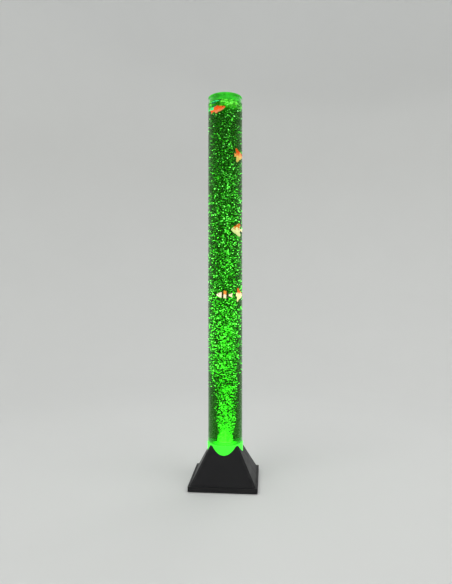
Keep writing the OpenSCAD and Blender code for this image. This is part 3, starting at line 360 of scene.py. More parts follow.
def laminated(name, base):
    """Thin iron sheets, stacked along Z."""
    finish = Finish(name)
    sheets = finish.bands("Z", 160, 0.4, 1)
    finish.set(base_color=finish.shades(base, sheets, 0.35), roughness=0.45, metallic=1.0)
    finish.bump(sheets, 0.00008)
    return finish.material


def wound(name, base):
    """Lacquered wire, wound turn beside turn along X."""
    finish = Finish(name)
    turns = finish.bands("X", 330, 0.6, 2)
    finish.set(
        base_color=finish.shades(base, turns, 0.4), roughness=0.32, metallic=0.85, coat_weight=0.5
    )
    finish.bump(turns, 0.0002)
    return finish.material


def porous(name, base, glow, strength):
    """Sintered grains, with the plug's light in them."""
    finish = Finish(name)
    grains = finish.cells(finish.place(), 1 / 0.0012)
    speckle = finish.span(grains, 0.0, 0.7)
    finish.set(
        base_color=finish.shades(base, speckle, 0.45), roughness=0.95,
        emission_color=finish.shades(glow, speckle, 0.4), emission_strength=strength,
    )
    finish.bump(grains, 0.0005)
    return finish.material


def circuit(name, base):
    """Green solder mask with copper tracks under it and tinned pads."""
    finish = Finish(name)
    tracks = finish.add(
        "TexBrick",
        {
            "Vector": finish.place(), "Scale": 60, "Mortar Size": 0.05, "Mortar Smooth": 0.2,
            "Color1": (0, 0, 0), "Color2": (0.2, 0.2, 0.2), "Mortar": (1, 1, 1),
        },
    ).outputs["Color"]
    pads = finish.span(finish.cells(finish.place(), 1 / 0.0045), 0.16, 0.1)
    track = finish.mix(tracks, base, [c * 1.9 for c in base])
    finish.set(
        base_color=finish.mix(pads, track, (0.7, 0.68, 0.62)),
        roughness=finish.span(pads, 0, 1, 0.38, 0.25), metallic=pads,
    )
    finish.bump(finish.math("ADD", pads, tracks), 0.00004)
    return finish.material


def glossy(name, base, rough=0.16, through=0.0, glow=0.0):
    """Gloss plastic, clear or filled, with faint moulding waves."""
    finish = Finish(name)
    waves = finish.noise(0.012, 2, 0.4)
    finish.set(
        base_color=finish.shades(base, waves, 0.1),
        roughness=finish.span(waves, 0.3, 0.7, rough - 0.05, rough + 0.06),
        transmission_weight=through, coat_weight=0.3,
    )
    if glow:
        finish.set(emission_color=finish.shades(base, waves, 0.1), emission_strength=glow)
    finish.bump(waves, 0.00006)
    return finish.material


def lit_acrylic(name, glow, strength, low, high, ends, floor_z=None, mottle=(0.82, 1.12)):
    """Acrylic that is full of green light, brighter at one end. Its clouds dim and brighten it
    by the two shares of mottle. A floor under the water shines round the nozzle and at its rim."""
    finish = Finish(name)
    clouds = finish.noise(0.016, 4, 0.55)
    axes = finish.add("SeparateXYZ", {"Vector": finish.place()}).outputs
    level = finish.span(axes["Z"], low, high, *ends)
    power = finish.times(level, finish.span(clouds, 0.25, 0.75, *mottle))
    if floor_z:
        squares = [finish.math("POWER", axes[axis], 2.0) for axis in "XY"]
        across = finish.math("SQRT", finish.math("ADD", *squares))
        middle = finish.span(across, *NOZZLE_GLOW, 8.0, 1.0)
        rim = finish.span(across, *RIM_GLOW, 0.0, 7.0)
        high_enough = finish.math("GREATER_THAN", axes["Z"], floor_z - 0.5 * MM)
        on_floor = finish.times(high_enough, finish.math("LESS_THAN", across, FLOOR_R))
        lit = finish.times(on_floor, finish.math("ADD", middle, rim))
        unlit = finish.times(power, finish.math("SUBTRACT", 1.0, on_floor))
        power = finish.math("ADD", unlit, lit)
    finish.set(
        base_color=finish.shades((0.03, 0.36, 0.015), clouds, 0.15),
        roughness=finish.span(finish.noise(0.008, 3), 0.3, 0.7, 0.14, 0.3),
        emission_color=finish.shades(glow, clouds, 0.12),
        emission_strength=finish.times(power, strength),
        specular_tint=(0.3, 0.6, 0.3),
    )
    finish.bump(clouds, 0.0001)
    return finish.material


def tube_acrylic(name, settings):
    """Polished clear acrylic: a faint green light runs in it, stronger near the lit plug."""
    finish = Finish(name)
    height = finish.add("SeparateXYZ", {"Vector": finish.place()}).outputs["Z"]
    fade = 0.2
    near_plug = finish.span(height, TUBE_BOTTOM, TUBE_BOTTOM + fade, 3.0, 1.0)
    haze = finish.span(finish.noise(0.05, 4, 0.6, (1, 1, 0.3)), 0.3, 0.7, 0.7, 1.3)
    finish.set(
        base_color=(0.93, 1.0, 0.94), roughness=0.0, ior=1.49, transmission_weight=1.0,
        specular_tint=(0.06, 0.2, 0.06),
        emission_color=finish.shades(settings.glow, haze, 0.1),
        emission_strength=finish.times(near_plug, haze, settings.wall_glow),
    )
    return finish.material


def deep_water(settings):
    """Water that swallows light over a hand's breadth, and green light the least."""
    finish = Finish("deep_water")
    finish.set(
        base_color=(0.96, 1.0, 0.97), roughness=0.0, ior=1.333, transmission_weight=1.0,
        specular_tint=(0.02, 0.1, 0.02),
    )
    swallow = finish.add(
        "VolumeAbsorption", {"Color": settings.water_tint, "Density": settings.water_depth}
    )
    output = finish.tree.nodes["Material Output"]
    finish.tree.links.new(swallow.outputs["Volume"], output.inputs["Volume"])
    return finish.material


def bubble_skin(name, lit, faint, strength):
    """A bubble lit with painted light: each has its own brightness and paleness, kept with its points."""
    finish = Finish(name)
    bright = finish.add("Attribute", attribute_name="brightness").outputs["Fac"]
    pale = finish.add("Attribute", attribute_name="paleness").outputs["Fac"]
    tint = finish.mix(pale, lit, faint)
    finish.set(
        base_color=tint, roughness=0.35, specular_tint=(0.3, 0.6, 0.3), emission_color=tint,
        emission_strength=finish.times(bright, strength),
    )
    finish.material.cycles.emission_sampling = "NONE"
    return finish.material


def slot_finishes():
    """The finish of each material slot in the record, made once."""
    column = bpy.context.scene.lamp_column
    plug_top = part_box("end_plug")[1].z
    makers = {
        "base_black": (moulded, (0.008, 0.0075, 0.0085), 0.46, 0.0007, 0.00005, 0.3, 0.3),
        "plate_black": (moulded, (0.02, 0.02, 0.022), 0.5),
        "seat_plastic": (moulded, (0.03, 0.03, 0.033), 0.5),
        "pump_grey": (moulded, (0.42, 0.42, 0.44), 0.5),
        "arm_plastic": (moulded, (0.72, 0.68, 0.55), 0.45),
        "nylon_white": (moulded, (0.8, 0.78, 0.72), 0.5),
        "chip_black": (moulded, (0.02, 0.02, 0.022), 0.6, 0.0003),
        "button_grey": (moulded, (0.45, 0.45, 0.46), 0.35),
        "screw_steel": (metal, (0.56, 0.56, 0.58), 0.3),
        "contact_brass": (metal, (0.78, 0.58, 0.26), 0.28),
        "magnet_grey": (metal, (0.22, 0.22, 0.24), 0.5, (1, 1, 1)),
        "core_iron": (laminated, (0.3, 0.3, 0.32)),
        "coil_copper": (wound, (0.78, 0.36, 0.14)),
        "foot_rubber": (rubber, (0.02, 0.02, 0.02)),
        "seal_rubber": (rubber, (0.035, 0.035, 0.035)),
        "stone_grey": (porous, (0.30, 0.34, 0.28), column.glow, 3.0),
        "board_green": (circuit, (0.02, 0.13, 0.045)),
        # The nozzle glows with painted light, for the light of the lit plug under it.
        "nozzle_plastic": (glossy, (0.30, 0.85, 0.28), 0.2, 0.3, 2.0),
        "hose_silicone": (glossy, (0.75, 0.82, 0.76), 0.3, 0.6),
        "valve_blue": (glossy, (0.04, 0.12, 0.55)),
        "capacitor_blue": (glossy, (0.03, 0.04, 0.18)),
        "red_lens": (glossy, (0.7, 0.06, 0.05), 0.12, 0.5),
        "green_lens": (glossy, (0.08, 1.0, 0.06), 0.12, 0.3, 4.0),
        "blue_lens": (glossy, (0.08, 0.12, 0.75), 0.12, 0.5),
        "rocker_red": (glossy, (0.32, 0.012, 0.01), 0.2),
        "lead_red": (glossy, (0.5, 0.02, 0.02), 0.35),
        "lead_blue": (glossy, (0.03, 0.05, 0.4), 0.35),
        "lead_green": (glossy, (0.03, 0.3, 0.06), 0.35),
        "lit_acrylic": (
            lit_acrylic, column.glow, column.plug_glow, 0.065, plug_top, (0.85, 1.05), FLOOR_Z
        ),
        "cap_acrylic": (
            lit_acrylic, column.glow, column.cap_glow, SKIRT_Z, CAD_BOX[1].z, (1.25, 0.8), None,
            (0.3, 1.6),
        ),
        "clear_acrylic": (tube_acrylic, column),
    }
    return {name: maker(name, *values) for name, (maker, *values) in makers.items()}


FINISHES = {}


def finish_nodes(names):
    """Gives each solid node the finish of its material slot."""
    if not FINISHES:
        FINISHES.update(slot_finishes())
    for name in names:
        for slot in NODES[name].material_slots:
            slot.link = "OBJECT"
            slot.material = FINISHES[SLOTS[name]]


# ---------- modelling helpers ----------


def deselect():
    if bpy.context.object and bpy.context.object.mode != "OBJECT":
        bpy.ops.object.mode_set(mode="OBJECT")
    bpy.ops.object.select_all(action="DESELECT")


def start_edit(select="DESELECT"):
    bpy.ops.object.mode_set(mode="EDIT")
    bpy.ops.mesh.select_all(action=select)


def end_edit():
    bpy.ops.object.mode_set(mode="OBJECT")


def choose(piece, kind, wanted):
    """Enters edit mode with those of the piece's vertices, edges or polygons selected whose
    every corner passes the test."""
    start_edit()
    end_edit()
    spots = [vertex.co for vertex in piece.data.vertices]
    for item in getattr(piece.data, kind):
        corners = [item.index] if kind == "vertices" else item.vertices
        item.select = all(wanted(spots[i]) for i in corners)
    bpy.ops.object.mode_set(mode="EDIT")


def extrude(move):
    bpy.ops.mesh.extrude_region_move(TRANSFORM_OT_translate={"value": move})


def draw_out(rings, middle=(0, 0)):
    """Extrudes the selected ring along X, through each next ring of (x, width, height)."""
    for (x0, wide0, high0), (x1, wide1, high1) in zip(rings, rings[1:]):
        extrude((x1 - x0, 0, 0))
        bpy.ops.transform.resize(
            value=(1, wide1 / wide0, high1 / high0), center_override=(x1, *middle)
        )


def face_outwards():
    """Turns all faces of the mesh that is being edited outwards, and leaves edit mode."""
    bpy.ops.mesh.select_all(action="SELECT")
    bpy.ops.mesh.normals_make_consistent(inside=False)
    end_edit()


def activate(piece):
    deselect()
    piece.select_set(True)
    bpy.context.view_layer.objects.active = piece


def settle(piece):
    """Puts the piece's place into its mesh, so that its object sits at the origin."""
    activate(piece)
    bpy.ops.object.transform_apply(location=True, rotation=True, scale=True)


def smooth(piece, degrees=50):
    """Shades the piece smooth, but for edges that are sharper than that."""
    activate(piece)
    bpy.ops.object.shade_smooth_by_angle(angle=math.radians(degrees))


def apply_modifier(piece, kind, **settings):
    activate(piece)
    modifier = piece.modifiers.new(kind.title(), kind)
    for setting, value in settings.items():
        setattr(modifier, setting, value)
    bpy.ops.object.modifier_apply(modifier=modifier.name)


def mesh_coords(mesh):
    points = np.zeros(len(mesh.vertices) * 3, np.float32)
    mesh.vertices.foreach_get("co", points)
    return points.reshape(-1, 3)


def paint(piece, *materials):
    piece.data.materials.clear()
    for material in materials:
        piece.data.materials.append(material)


def stand_in(piece, node):
    """Gives the piece the finish of the node, and hides the node."""
    paint(piece, FINISHES[SLOTS[node]])
    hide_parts(node)


# ---------- stage ----------


class StageOperator(Operator):
    """Adds the pale floor with its round sweep, the soft lights and the camera"""

    bl_idname = "bubble_lamp.stage"
    bl_label = "Stage"

    def execute(self, context):
        stage = context.scene.lamp_stage
        self.add_floor(stage)
        self.add_lights(context, stage)
        self.add_camera(context, stage)
        context.scene.view_settings.view_transform = "Standard"
        return {"FINISHED"}

    def add_floor(self, stage):
        deselect()
        bpy.ops.mesh.primitive_circle_add(
            vertices=96, radius=stage.sweep_radius, fill_type="NGON", location=(0, 0, 0)
        )
        floor = bpy.context.object
        floor.name = "studio_floor"
        start_edit("SELECT")
        bpy.ops.mesh.region_to_loop()
        extrude((0, 0, stage.sweep_height))
        end_edit()
        choose(floor, "edges", lambda spot: abs(spot.z) < MM)
        corner = stage.sweep_height * 0.4
        bpy.ops.mesh.bevel(offset=corner, segments=16, profile=0.5)
        end_edit()
        for face in floor.data.polygons:
            face.use_smooth = True
        finish = Finish("studio_floor")
        blotch = finish.noise(0.7, 3)
        finish.set(base_color=finish.shades(stage.floor, blotch, 0.02), roughness=0.85)
        paint(floor, finish.material)

    def add_lights(self, context, stage):
        world = bpy.data.worlds.new("studio")
        world.use_nodes = True
        background = world.node_tree.nodes["Background"]
        background.inputs["Color"].default_value = (*stage.sky, 1)
        background.inputs["Strength"].default_value = stage.sky_strength
        context.scene.world = world
        aim = Vector((0, 0, 0.5))
        # Each is (name, power, place, size)
        lights = [
            ("key", stage.key_watts, (-1.2, -1.5, 3.6), 1.6),
            ("fill", stage.fill_watts, (1.9, -0.9, 3.2), 1.8),
            ("rim", stage.rim_watts, (0.8, 1.7, 3.4), 1.6),
        ]
        for name, watts, spot, size in lights:
            light = bpy.data.lights.new(name, "AREA")
            light.energy = watts
            light.size = size
            holder = bpy.data.objects.new(name, light)
            holder.location = spot
            holder.rotation_euler = (aim - Vector(spot)).to_track_quat("-Z", "Y").to_euler()
            holder.visible_glossy = False
            holder.visible_transmission = False
            context.scene.collection.objects.link(holder)

    def add_camera(self, context, stage):
        camera = bpy.data.cameras.new("camera")
        camera.sensor_width = 36
        camera.lens = stage.lens
        holder = bpy.data.objects.new("camera", camera)
        turn = Matrix.Rotation(stage.camera_turn, 3, "Z")
        holder.location = turn @ Vector(
            (stage.camera_shift, -stage.camera_distance, stage.camera_height)
        )
        holder.rotation_euler = Euler((math.pi / 2, 0, stage.camera_turn))
        context.scene.collection.objects.link(holder)
        context.scene.camera = holder


# ---------- solid parts ----------


class SolidsOperator:
    """Gives its solids their finishes, then adds what it models itself."""

    solids = ()

    def execute(self, context):
        finish_nodes(self.solids)
        self.add_pieces()
        return {"FINISHED"}

    def add_pieces(self):
        pass


class BaseOperator(SolidsOperator, Operator):
    """Finishes the base shell, its plate, seat, screws and feet"""

    bl_idname = "bubble_lamp.base"
    bl_label = "Base"
    solids = ("base_shell", "base_plate", "plate_screws", "rubber_feet", "tube_seat")


class ColumnOperator(SolidsOperator, Operator):
    """Finishes the end plug, cap and seals, and models the polished tube wall"""

    bl_idname = "bubble_lamp.column"
    bl_label = "Column"
    solids = ("end_plug", "top_cap", "seat_gasket", "plug_seal", "clear_tube")

    def add_pieces(self):
        column = bpy.context.scene.lamp_column
        deselect()
        bpy.ops.mesh.primitive_plane_add(
            size=1, rotation=(math.pi / 2, 0, 0),
            location=(TUBE_R - column.wall / 2, 0, (TUBE_BOTTOM + TUBE_TOP) / 2),
        )
        tube = bpy.context.object
        tube.name = "tube_wall"
        tube.scale = (column.wall, TUBE_TOP - TUBE_BOTTOM, 1)
        settle(tube)
        start_edit("SELECT")
        bpy.ops.mesh.bevel(offset=column.polish, segments=2, affect="VERTICES")
        bpy.ops.mesh.delete(type="ONLY_FACE")
        bpy.ops.mesh.select_all(action="SELECT")
        bpy.ops.mesh.spin(steps=ROUND_SIDES, angle=math.tau, center=(0, 0, 0), axis=(0, 0, 1))
        bpy.ops.mesh.select_all(action="SELECT")
        bpy.ops.mesh.remove_doubles(threshold=0.01 * MM)
        face_outwards()
        smooth(tube, 12)
        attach(tube, "lamp")
        stand_in(tube, "clear_tube")


class AirLineOperator(SolidsOperator, Operator):
    """Finishes the nozzle, the porous stone, the hoses and the check valve"""

    bl_idname = "bubble_lamp.air_line"
    bl_label = "Air line"
    solids = (
        "air_nozzle", "nozzle_washer", "nozzle_nut", "porous_stone", "upper_hose", "check_valve",
        "valve_disc", "lower_hose",
    )


class PumpOperator(SolidsOperator, Operator):
    """Finishes the air pump's box and works, and models its diaphragm"""

    bl_idname = "bubble_lamp.pump"
    bl_label = "Air pump"
    solids = (
        "pump_housing", "pump_cover", "pump_screws", "pump_grommets", "pump_core", "pump_coil",
        "pump_arm", "arm_magnet", "arm_pivot_pin", "pump_diaphragm", "pump_head", "pump_valves",
    )

    def add_pieces(self):
        """A rubber cup that is turned on X, its rim in the head."""
        low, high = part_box("pump_diaphragm")
        middle = (low + high) / 2
        rim = (high.z - low.z) / 2
        lip_x, neck_x = high.x - 1.5 * MM, low.x + 1.8 * MM
        outline = [
            (low.x, 3 * MM), (neck_x, 3 * MM), (lip_x, rim - 2 * MM), (lip_x, rim), (high.x, rim),
            (high.x, rim - 3 * MM), (lip_x + 0.7 * MM, rim - 3 * MM), (neck_x + MM, 2 * MM),
        ]
        deselect()
        bpy.ops.mesh.primitive_circle_add(
            vertices=48, radius=outline[0][1], fill_type="NGON", rotation=(0, math.pi / 2, 0),
            location=(low.x, middle.y, middle.z),
        )
        cup = bpy.context.object
        cup.name = "diaphragm_cup"
        settle(cup)
        start_edit("SELECT")
        draw_out([(x, radius, radius) for x, radius in outline], middle.yz)
        face_outwards()
        apply_modifier(cup, "BEVEL", width=0.15 * MM, segments=2, limit_method="ANGLE")
        smooth(cup, 40)
        stand_in(cup, "pump_diaphragm")
        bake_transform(cup)


class BoardsOperator(SolidsOperator, Operator):
    """Finishes the light board, the control board, what is on them and their leads"""

    bl_idname = "bubble_lamp.boards"
    bl_label = "Boards and leads"
    solids = (
        "light_board", "red_lights", "green_lights", "blue_lights", "light_spacers",
        "light_screws", "control_board", "control_chip", "board_capacitors", "board_connectors",
        "board_screws", "control_leads", "pump_lead", "light_lead",
    )


class ControlsOperator(SolidsOperator, Operator):
    """Finishes the rocker switch, the colour button and the power socket, and winds the
    button's spring"""

    bl_idname = "bubble_lamp.controls"
    bl_label = "Controls"
    solids = (
        "switch_body", "switch_rocker", "switch_blades", "button_body", "button_cap",
        "button_spring", "power_socket", "socket_contacts", "socket_nut",
    )

    def add_pieces(self):
        """A coil of wire, screwed up from a small circle."""
        low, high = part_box("button_spring")
        middle = (low + high) / 2
        wire, wire_sides, turns = 0.3 * MM, 8, 4
        rise = high.y - low.y - 2 * wire
        deselect()
        bpy.ops.mesh.primitive_circle_add(
            vertices=wire_sides, radius=wire, rotation=(math.pi / 2, 0, 0),
            location=((high.x - low.x) / 2 - wire, 0, 0),
        )
        coil = bpy.context.object
        coil.name = "spring_coil"
        settle(coil)
        apply_modifier(
            coil, "SCREW", axis="Z", angle=math.tau, iterations=turns, screw_offset=rise / turns,
            steps=20, render_steps=20,
        )
        start_edit("SELECT")
        bpy.ops.mesh.fill_holes(sides=wire_sides)
        face_outwards()
        coil.rotation_euler = (-math.pi / 2, 0, 0)
        coil.location = (middle.x, low.y + wire, middle.z)
        settle(coil)
        smooth(coil)
        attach(coil, "lamp")
        stand_in(coil, "button_spring")
        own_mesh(coil)


# ---------- water, bubbles and foam ----------


def water_radius():
    column = bpy.context.scene.lamp_column
    return TUBE_R - column.wall + column.water_lap


def water_level():
    return SKIRT_Z - bpy.context.scene.lamp_column.air_gap


class WaterOperator(Operator):
    """Models the water, with its meniscus and the ripples that the bubbles make"""

    bl_idname = "bubble_lamp.water"
    bl_label = "Water"

    def execute(self, context):
        column = context.scene.lamp_column
        radius = water_radius()
        floor_lap = 10 * column.water_lap
        low, high = FLOOR_Z - floor_lap, water_level()
        deselect()
        bpy.ops.mesh.primitive_cylinder_add(
            vertices=ROUND_SIDES, radius=radius, depth=high - low,
            location=(0, 0, (low + high) / 2),
        )
        water = context.object
        water.name = "water"
        settle(water)
        choose(water, "polygons", lambda spot: spot.z > high - 0.1 * MM)
        rings = 14
        for _ in range(rings):
            bpy.ops.mesh.inset(thickness=radius / (rings + 1), depth=0)
        end_edit()
        for vertex in water.data.vertices:
            if vertex.co.z > high - 0.1 * MM:
                away = math.hypot(vertex.co.x, vertex.co.y) / radius
                climb = column.meniscus * away**12
                wave = noise.fractal(vertex.co * 70, 1.0, 2.0, 3) * column.ripple
                vertex.co.z += climb + wave * (1 - away**6) - column.ripple
        smooth(water)
        paint(water, deep_water(column))
        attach(water, "lamp")
        return {"FINISHED"}


# Each pair is a height and how dense the bubbles are there
PLUME_DENSITY = (
    (STONE_TOP, 3.4), (0.155, 3.0), (0.18, 1.7), (0.25, 1.25), (0.32, 1.2), (0.4, 0.9), (0.5, 0.6),
    (0.62, 0.0),
)
FIELD_DENSITY = (
    (0.22, 0.0), (0.27, 0.06), (0.32, 0.3), (0.38, 0.8), (0.45, 1.05), (0.6, 1.2), (0.85, 1.1),
    (1.0, 0.85), (1.1, 0.6),
)
# Each pair is a height and the plume's radius there
PLUME_RADII = (
    (STONE_TOP, 0.0165), (0.158, 0.019), (0.2, 0.027), (0.25, 0.0275), (0.3, 0.030),
    (0.347, 0.039), (0.62, 0.044),
)
# Middles of the clumps in the plume, how far they spread and how many bubbles each has
CLUMPS = (
    (0.004, -0.006, 0.475), (-0.006, -0.01, 0.43), (0.003, 0.008, 0.385), (-0.004, -0.012, 0.36),
    (0.006, -0.004, 0.29), (0.0, -0.008, 0.235),
)
CLUMP_SPREAD = (0.006, 0.006, 0.007)
CLUMP_BUBBLES = 40
STONE_BUBBLES = 260


def lanes():
    """Where the fish swim: outline from above, lowest and highest point, joint ranges included."""
    found = []
    for name in FISH_NODES:
        points = [Vector(v.co[:2]) for v in NODES[name].data.vertices]
        outline = np.array([points[i] for i in geometry.convex_hull_2d(points)])
        low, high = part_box(name)
        down, up = JOINTS[name]["range_m"]
        found.append((outline, low.z + down, high.z + up))
    return found


def clear_of_lanes(spots, radii, gap=0.0009):
    """True for each bubble that no fish can meet in its whole range."""
    free = np.ones(len(spots), bool)
    for outline, low, high in lanes():
        following = np.roll(outline, -1, axis=0)
        along = following - outline
        real = (along**2).sum(1) > 0
        along, outline = along[real], outline[real]
        outward = np.stack([along[:, 1], -along[:, 0]], 1)
        outward /= np.linalg.norm(outward, axis=1)[:, None]
        if ((outline.mean(0) - outline[0]) @ outward[0]) > 0:
            outward = -outward
        away = ((spots[:, None, :2] - outline[None]) * outward[None]).sum(2).max(1)
        level = (spots[:, 2] > low - radii - gap) & (spots[:, 2] < high + radii + gap)
        free &= ~(level & (away < radii + gap))
    return free


def beside_fish(spots):
    """False for each bubble that would hide a fish at rest from the camera."""
    turn = bpy.context.scene.lamp_stage.camera_turn
    ahead = np.array((math.sin(turn), -math.cos(turn)))
    aside = np.array((math.cos(turn), math.sin(turn)))
    clear = np.ones(len(spots), bool)
    for name in FISH_NODES:
        points = mesh_coords(NODES[name].data)
        sides, heights = points[:, :2] @ aside, points[:, 2]
        across, nearer = spots[:, :2] @ aside, spots[:, :2] @ ahead
        room, room_above = MM, 3 * MM
        clear &= ~(
            (across > sides.min() - room) & (across < sides.max() + room)
            & (spots[:, 2] > heights.min() - room) & (spots[:, 2] < heights.max() + room_above)
            & (nearer > (points[:, :2] @ ahead).min())
        )
    return clear


def random_turns(chance, number):
    """Random small tilts and any heading, as rotation matrices."""
    turns = []
    for heading, lean, side in chance.uniform(-1, 1, (number, 3)):
        turn = Euler((0.5 * lean, 0.5 * side, math.pi * heading)).to_matrix()
        turns.append(np.array(turn))
    return np.array(turns)


def bubble_ball():
    """One bubble of radius 1, as its points and faces."""
    deselect()
    bpy.ops.mesh.primitive_ico_sphere_add(subdivisions=1, radius=1)
    ball = bpy.context.object
    apply_modifier(ball, "CAST", factor=0.9)
    points = mesh_coords(ball.data)
    faces = np.array([face.vertices[:] for face in ball.data.polygons])
    mesh = ball.data
    bpy.data.objects.remove(ball)
    bpy.data.meshes.remove(mesh)
    return points, faces


def scatter(name, chance, spots, radii, brightness, paleness, material):
    """Joins one bubble at each spot into a piece that rides on the lamp."""
    settings = bpy.context.scene.lamp_bubbles
    points, faces = bubble_ball()
    shapes = points[None] * chance.uniform(0.8, 1.2, (len(spots), 1, 3))
    shapes[:, :, 2] *= settings.squash
    shapes = np.einsum("nij,npj->npi", random_turns(chance, len(spots)), shapes)
    places = shapes * radii[:, None, None] + spots[:, None, :]
    # Painted shade: each bubble is darker towards its top, as if lit from below.
    painted_shade_above = 0.42
    painted_light_from_below = (1 - painted_shade_above * points[:, 2])[None] * brightness[:, None]
    joined = faces[None] + len(points) * np.arange(len(spots))[:, None, None]
    mesh = bpy.data.meshes.new(name)
    mesh.from_pydata(places.reshape(-1, 3).tolist(), [], joined.reshape(-1, 3).tolist())
    paleness = np.repeat(paleness, len(points))
    for label, values in (("brightness", painted_light_from_below.ravel()), ("paleness", paleness)):
        attribute = mesh.attributes.new(label, "FLOAT", "POINT")
        attribute.data.foreach_set("value", values.astype(np.float32))
    mesh.polygons.foreach_set("use_smooth", np.ones(len(mesh.polygons), bool))
    piece = bpy.data.objects.new(name, mesh)
    bpy.context.scene.collection.objects.link(piece)
    paint(piece, material)
    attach(piece, "lamp")


def bubble_radii(chance, number):
    settings = bpy.context.scene.lamp_bubbles
    sizes = chance.normal(1, settings.spread, number).clip(0.45, 1.7)
    return settings.radius * sizes


def round_axis(out, turn, heights):
    """Spots at those distances from the lamp's axis, angles and heights."""
    return np.stack([out * np.cos(turn), out * np.sin(turn), heights], 1)


def in_discs(chance, heights, widest, core=0.5):
    """Spots at those heights, inside discs of the given radii; core 0.5 spreads them evenly."""
    out = widest * chance.uniform(0, 1, len(heights)) ** core
    return round_axis(out, chance.uniform(0, math.tau, len(heights)), heights)


def heights_by_density(chance, number, profile):
    """Heights drawn so that they are as dense as the profile of (height, density) says."""
    levels, dense = np.array(profile).T
    fine = np.linspace(levels[0], levels[-1], 400)
    total = np.cumsum(np.interp(fine, levels, dense))
    return np.interp(chance.uniform(total[0], total[-1], number), total, fine)


class BubblesOperator(Operator):
    """Scatters the plume over the porous stone and the bubbles up the whole column"""

    bl_idname = "bubble_lamp.bubbles"
    bl_label = "Bubbles"

    def execute(self, context):
        settings = context.scene.lamp_bubbles
        chance = np.random.default_rng(settings.seed)
        skin = bubble_skin("bubble_skin", settings.colour, settings.faint, settings.glow)
        self.add_plume(chance, settings, skin)
        self.add_field(chance, settings, skin)
        return {"FINISHED"}

    def add_plume(self, chance, settings, skin):
        """A narrow bright column that widens as it rises, with denser clumps in it."""
        heights = heights_by_density(chance, settings.plume, PLUME_DENSITY)
        spots = in_discs(chance, heights, np.interp(heights, *zip(*PLUME_RADII)), 0.54)
        for spot in CLUMPS:
            near = chance.normal(spot, CLUMP_SPREAD, (CLUMP_BUBBLES, 3))
            spots = np.concatenate([spots, near])
        radii = bubble_radii(chance, len(spots)) * 0.85
        # Painted light: how brightly each bubble of the plume glows.
        painted_glow = 0.3 + 1.1 * chance.uniform(0, 1, len(spots)) ** 1.4
        self.add("bubble_plume", chance, spots, radii, painted_glow, np.zeros(len(spots)), skin)
        self.add_stone_bubbles(chance, skin)

    def add_stone_bubbles(self, chance, skin):
        """Bubbles that leave the side of the porous stone."""
        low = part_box("porous_stone")[0].z
        heights = chance.uniform(low, STONE_TOP + 2 * MM, STONE_BUBBLES)
        turn = chance.uniform(0, math.tau, STONE_BUBBLES)
        out = STONE_R + chance.uniform(0.0, 4 * MM, STONE_BUBBLES)
        spots = round_axis(out, turn, heights)
        radii = bubble_radii(chance, STONE_BUBBLES) * 0.7
        # Painted light: how brightly each bubble at the stone glows.
        painted_glow = chance.uniform(0.6, 1.2, STONE_BUBBLES)
        self.add("stone_bubbles", chance, spots, radii, painted_glow, np.zeros(STONE_BUBBLES), skin)

    def add_field(self, chance, settings, skin):
        """Loose bubbles over the full width, thinner and fainter further up."""
        profile = (*FIELD_DENSITY, (water_level() - 4 * MM, 0.5))
        heights = heights_by_density(chance, settings.field, profile)
        spots = in_discs(chance, heights, water_radius() - 3 * MM)
        radii = bubble_radii(chance, len(spots)) * 0.88
        # Painted light: further up, away from the lights under the plug, the bubbles glow fainter and paler.
        rise = np.interp(heights, [0.3, 0.6, 0.9, 1.15], [1.0, 0.85, 0.62, 0.5])
        painted_glow = rise * (0.12 + 1.5 * chance.uniform(0, 1, len(spots)) ** 2)
        pale = np.interp(heights, [0.5, 1.15], [0.1, 0.75]) * chance.uniform(0, 1.3, len(spots))
        middle = 0.75
        for name, part in (("bubbles_low", heights < middle), ("bubbles_high", heights >= middle)):
            self.add(
                name, chance, spots[part], radii[part], painted_glow[part], pale[part].clip(0, 1), skin
            )

    def add(self, name, chance, spots, radii, painted_glow, pale, skin):
        inside = np.hypot(spots[:, 0], spots[:, 1]) + radii * 1.3 < water_radius()
        keep = clear_of_lanes(spots, radii * 1.2) & inside & beside_fish(spots)
        scatter(name, chance, spots[keep], radii[keep], painted_glow[keep], pale[keep], skin)


class FoamOperator(Operator):
    """Packs the foam that gathers under the water's surface"""

    bl_idname = "bubble_lamp.foam"
    bl_label = "Foam"

    def execute(self, context):
        settings = context.scene.lamp_bubbles
        chance = np.random.default_rng(settings.seed + 1)
        highest = np.full(settings.foam, water_level() - 3 * MM)
        radii = bubble_radii(chance, settings.foam) * 1.05
        spots = in_discs(chance, highest, water_radius() - 3.6 * MM)
        away = np.hypot(spots[:, 0], spots[:, 1]) / water_radius()
        deep = 2.6 * MM + 6 * MM * away**8
        spots[:, 2] -= chance.exponential(1, settings.foam).clip(0, 3.5) * deep
        keep = clear_of_lanes(spots, radii * 1.2) & beside_fish(spots)
        skin = bubble_skin("foam_skin", settings.foam_colour, settings.faint, settings.foam_glow)
        # Painted light: the foam glows brighter and dimmer in blotches.
        blotch = [noise.noise(Vector(spot) * 130) for spot in spots]
        painted_glow = np.interp(blotch, [-0.28, 0.28], [0.1, 1.5]) * chance.uniform(0.5, 1.4, len(spots))
        pale = chance.uniform(0, 0.5, settings.foam)
        scatter("foam", chance, spots[keep], radii[keep], painted_glow[keep], pale[keep], skin)
        return {"FINISHED"}


# ---------- toy fish ----------


# Rings of the bodies from mouth to tail, as (how far back, height, width) in shares of the fish
LONG_BODY = (
    (0.03, 0.16, 0.2), (0.08, 0.34, 0.46), (0.17, 0.63, 0.78), (0.3, 0.92, 0.98),
    (0.44, 0.99, 0.94), (0.58, 0.88, 0.78), (0.7, 0.6, 0.52), (0.78, 0.38, 0.34),
)
TALL_BODY = (
    (0.03, 0.12, 0.2), (0.08, 0.28, 0.44), (0.17, 0.54, 0.76), (0.3, 0.88, 0.98),
    (0.45, 0.99, 0.93), (0.59, 0.84, 0.72), (0.7, 0.5, 0.46), (0.77, 0.28, 0.3),
)


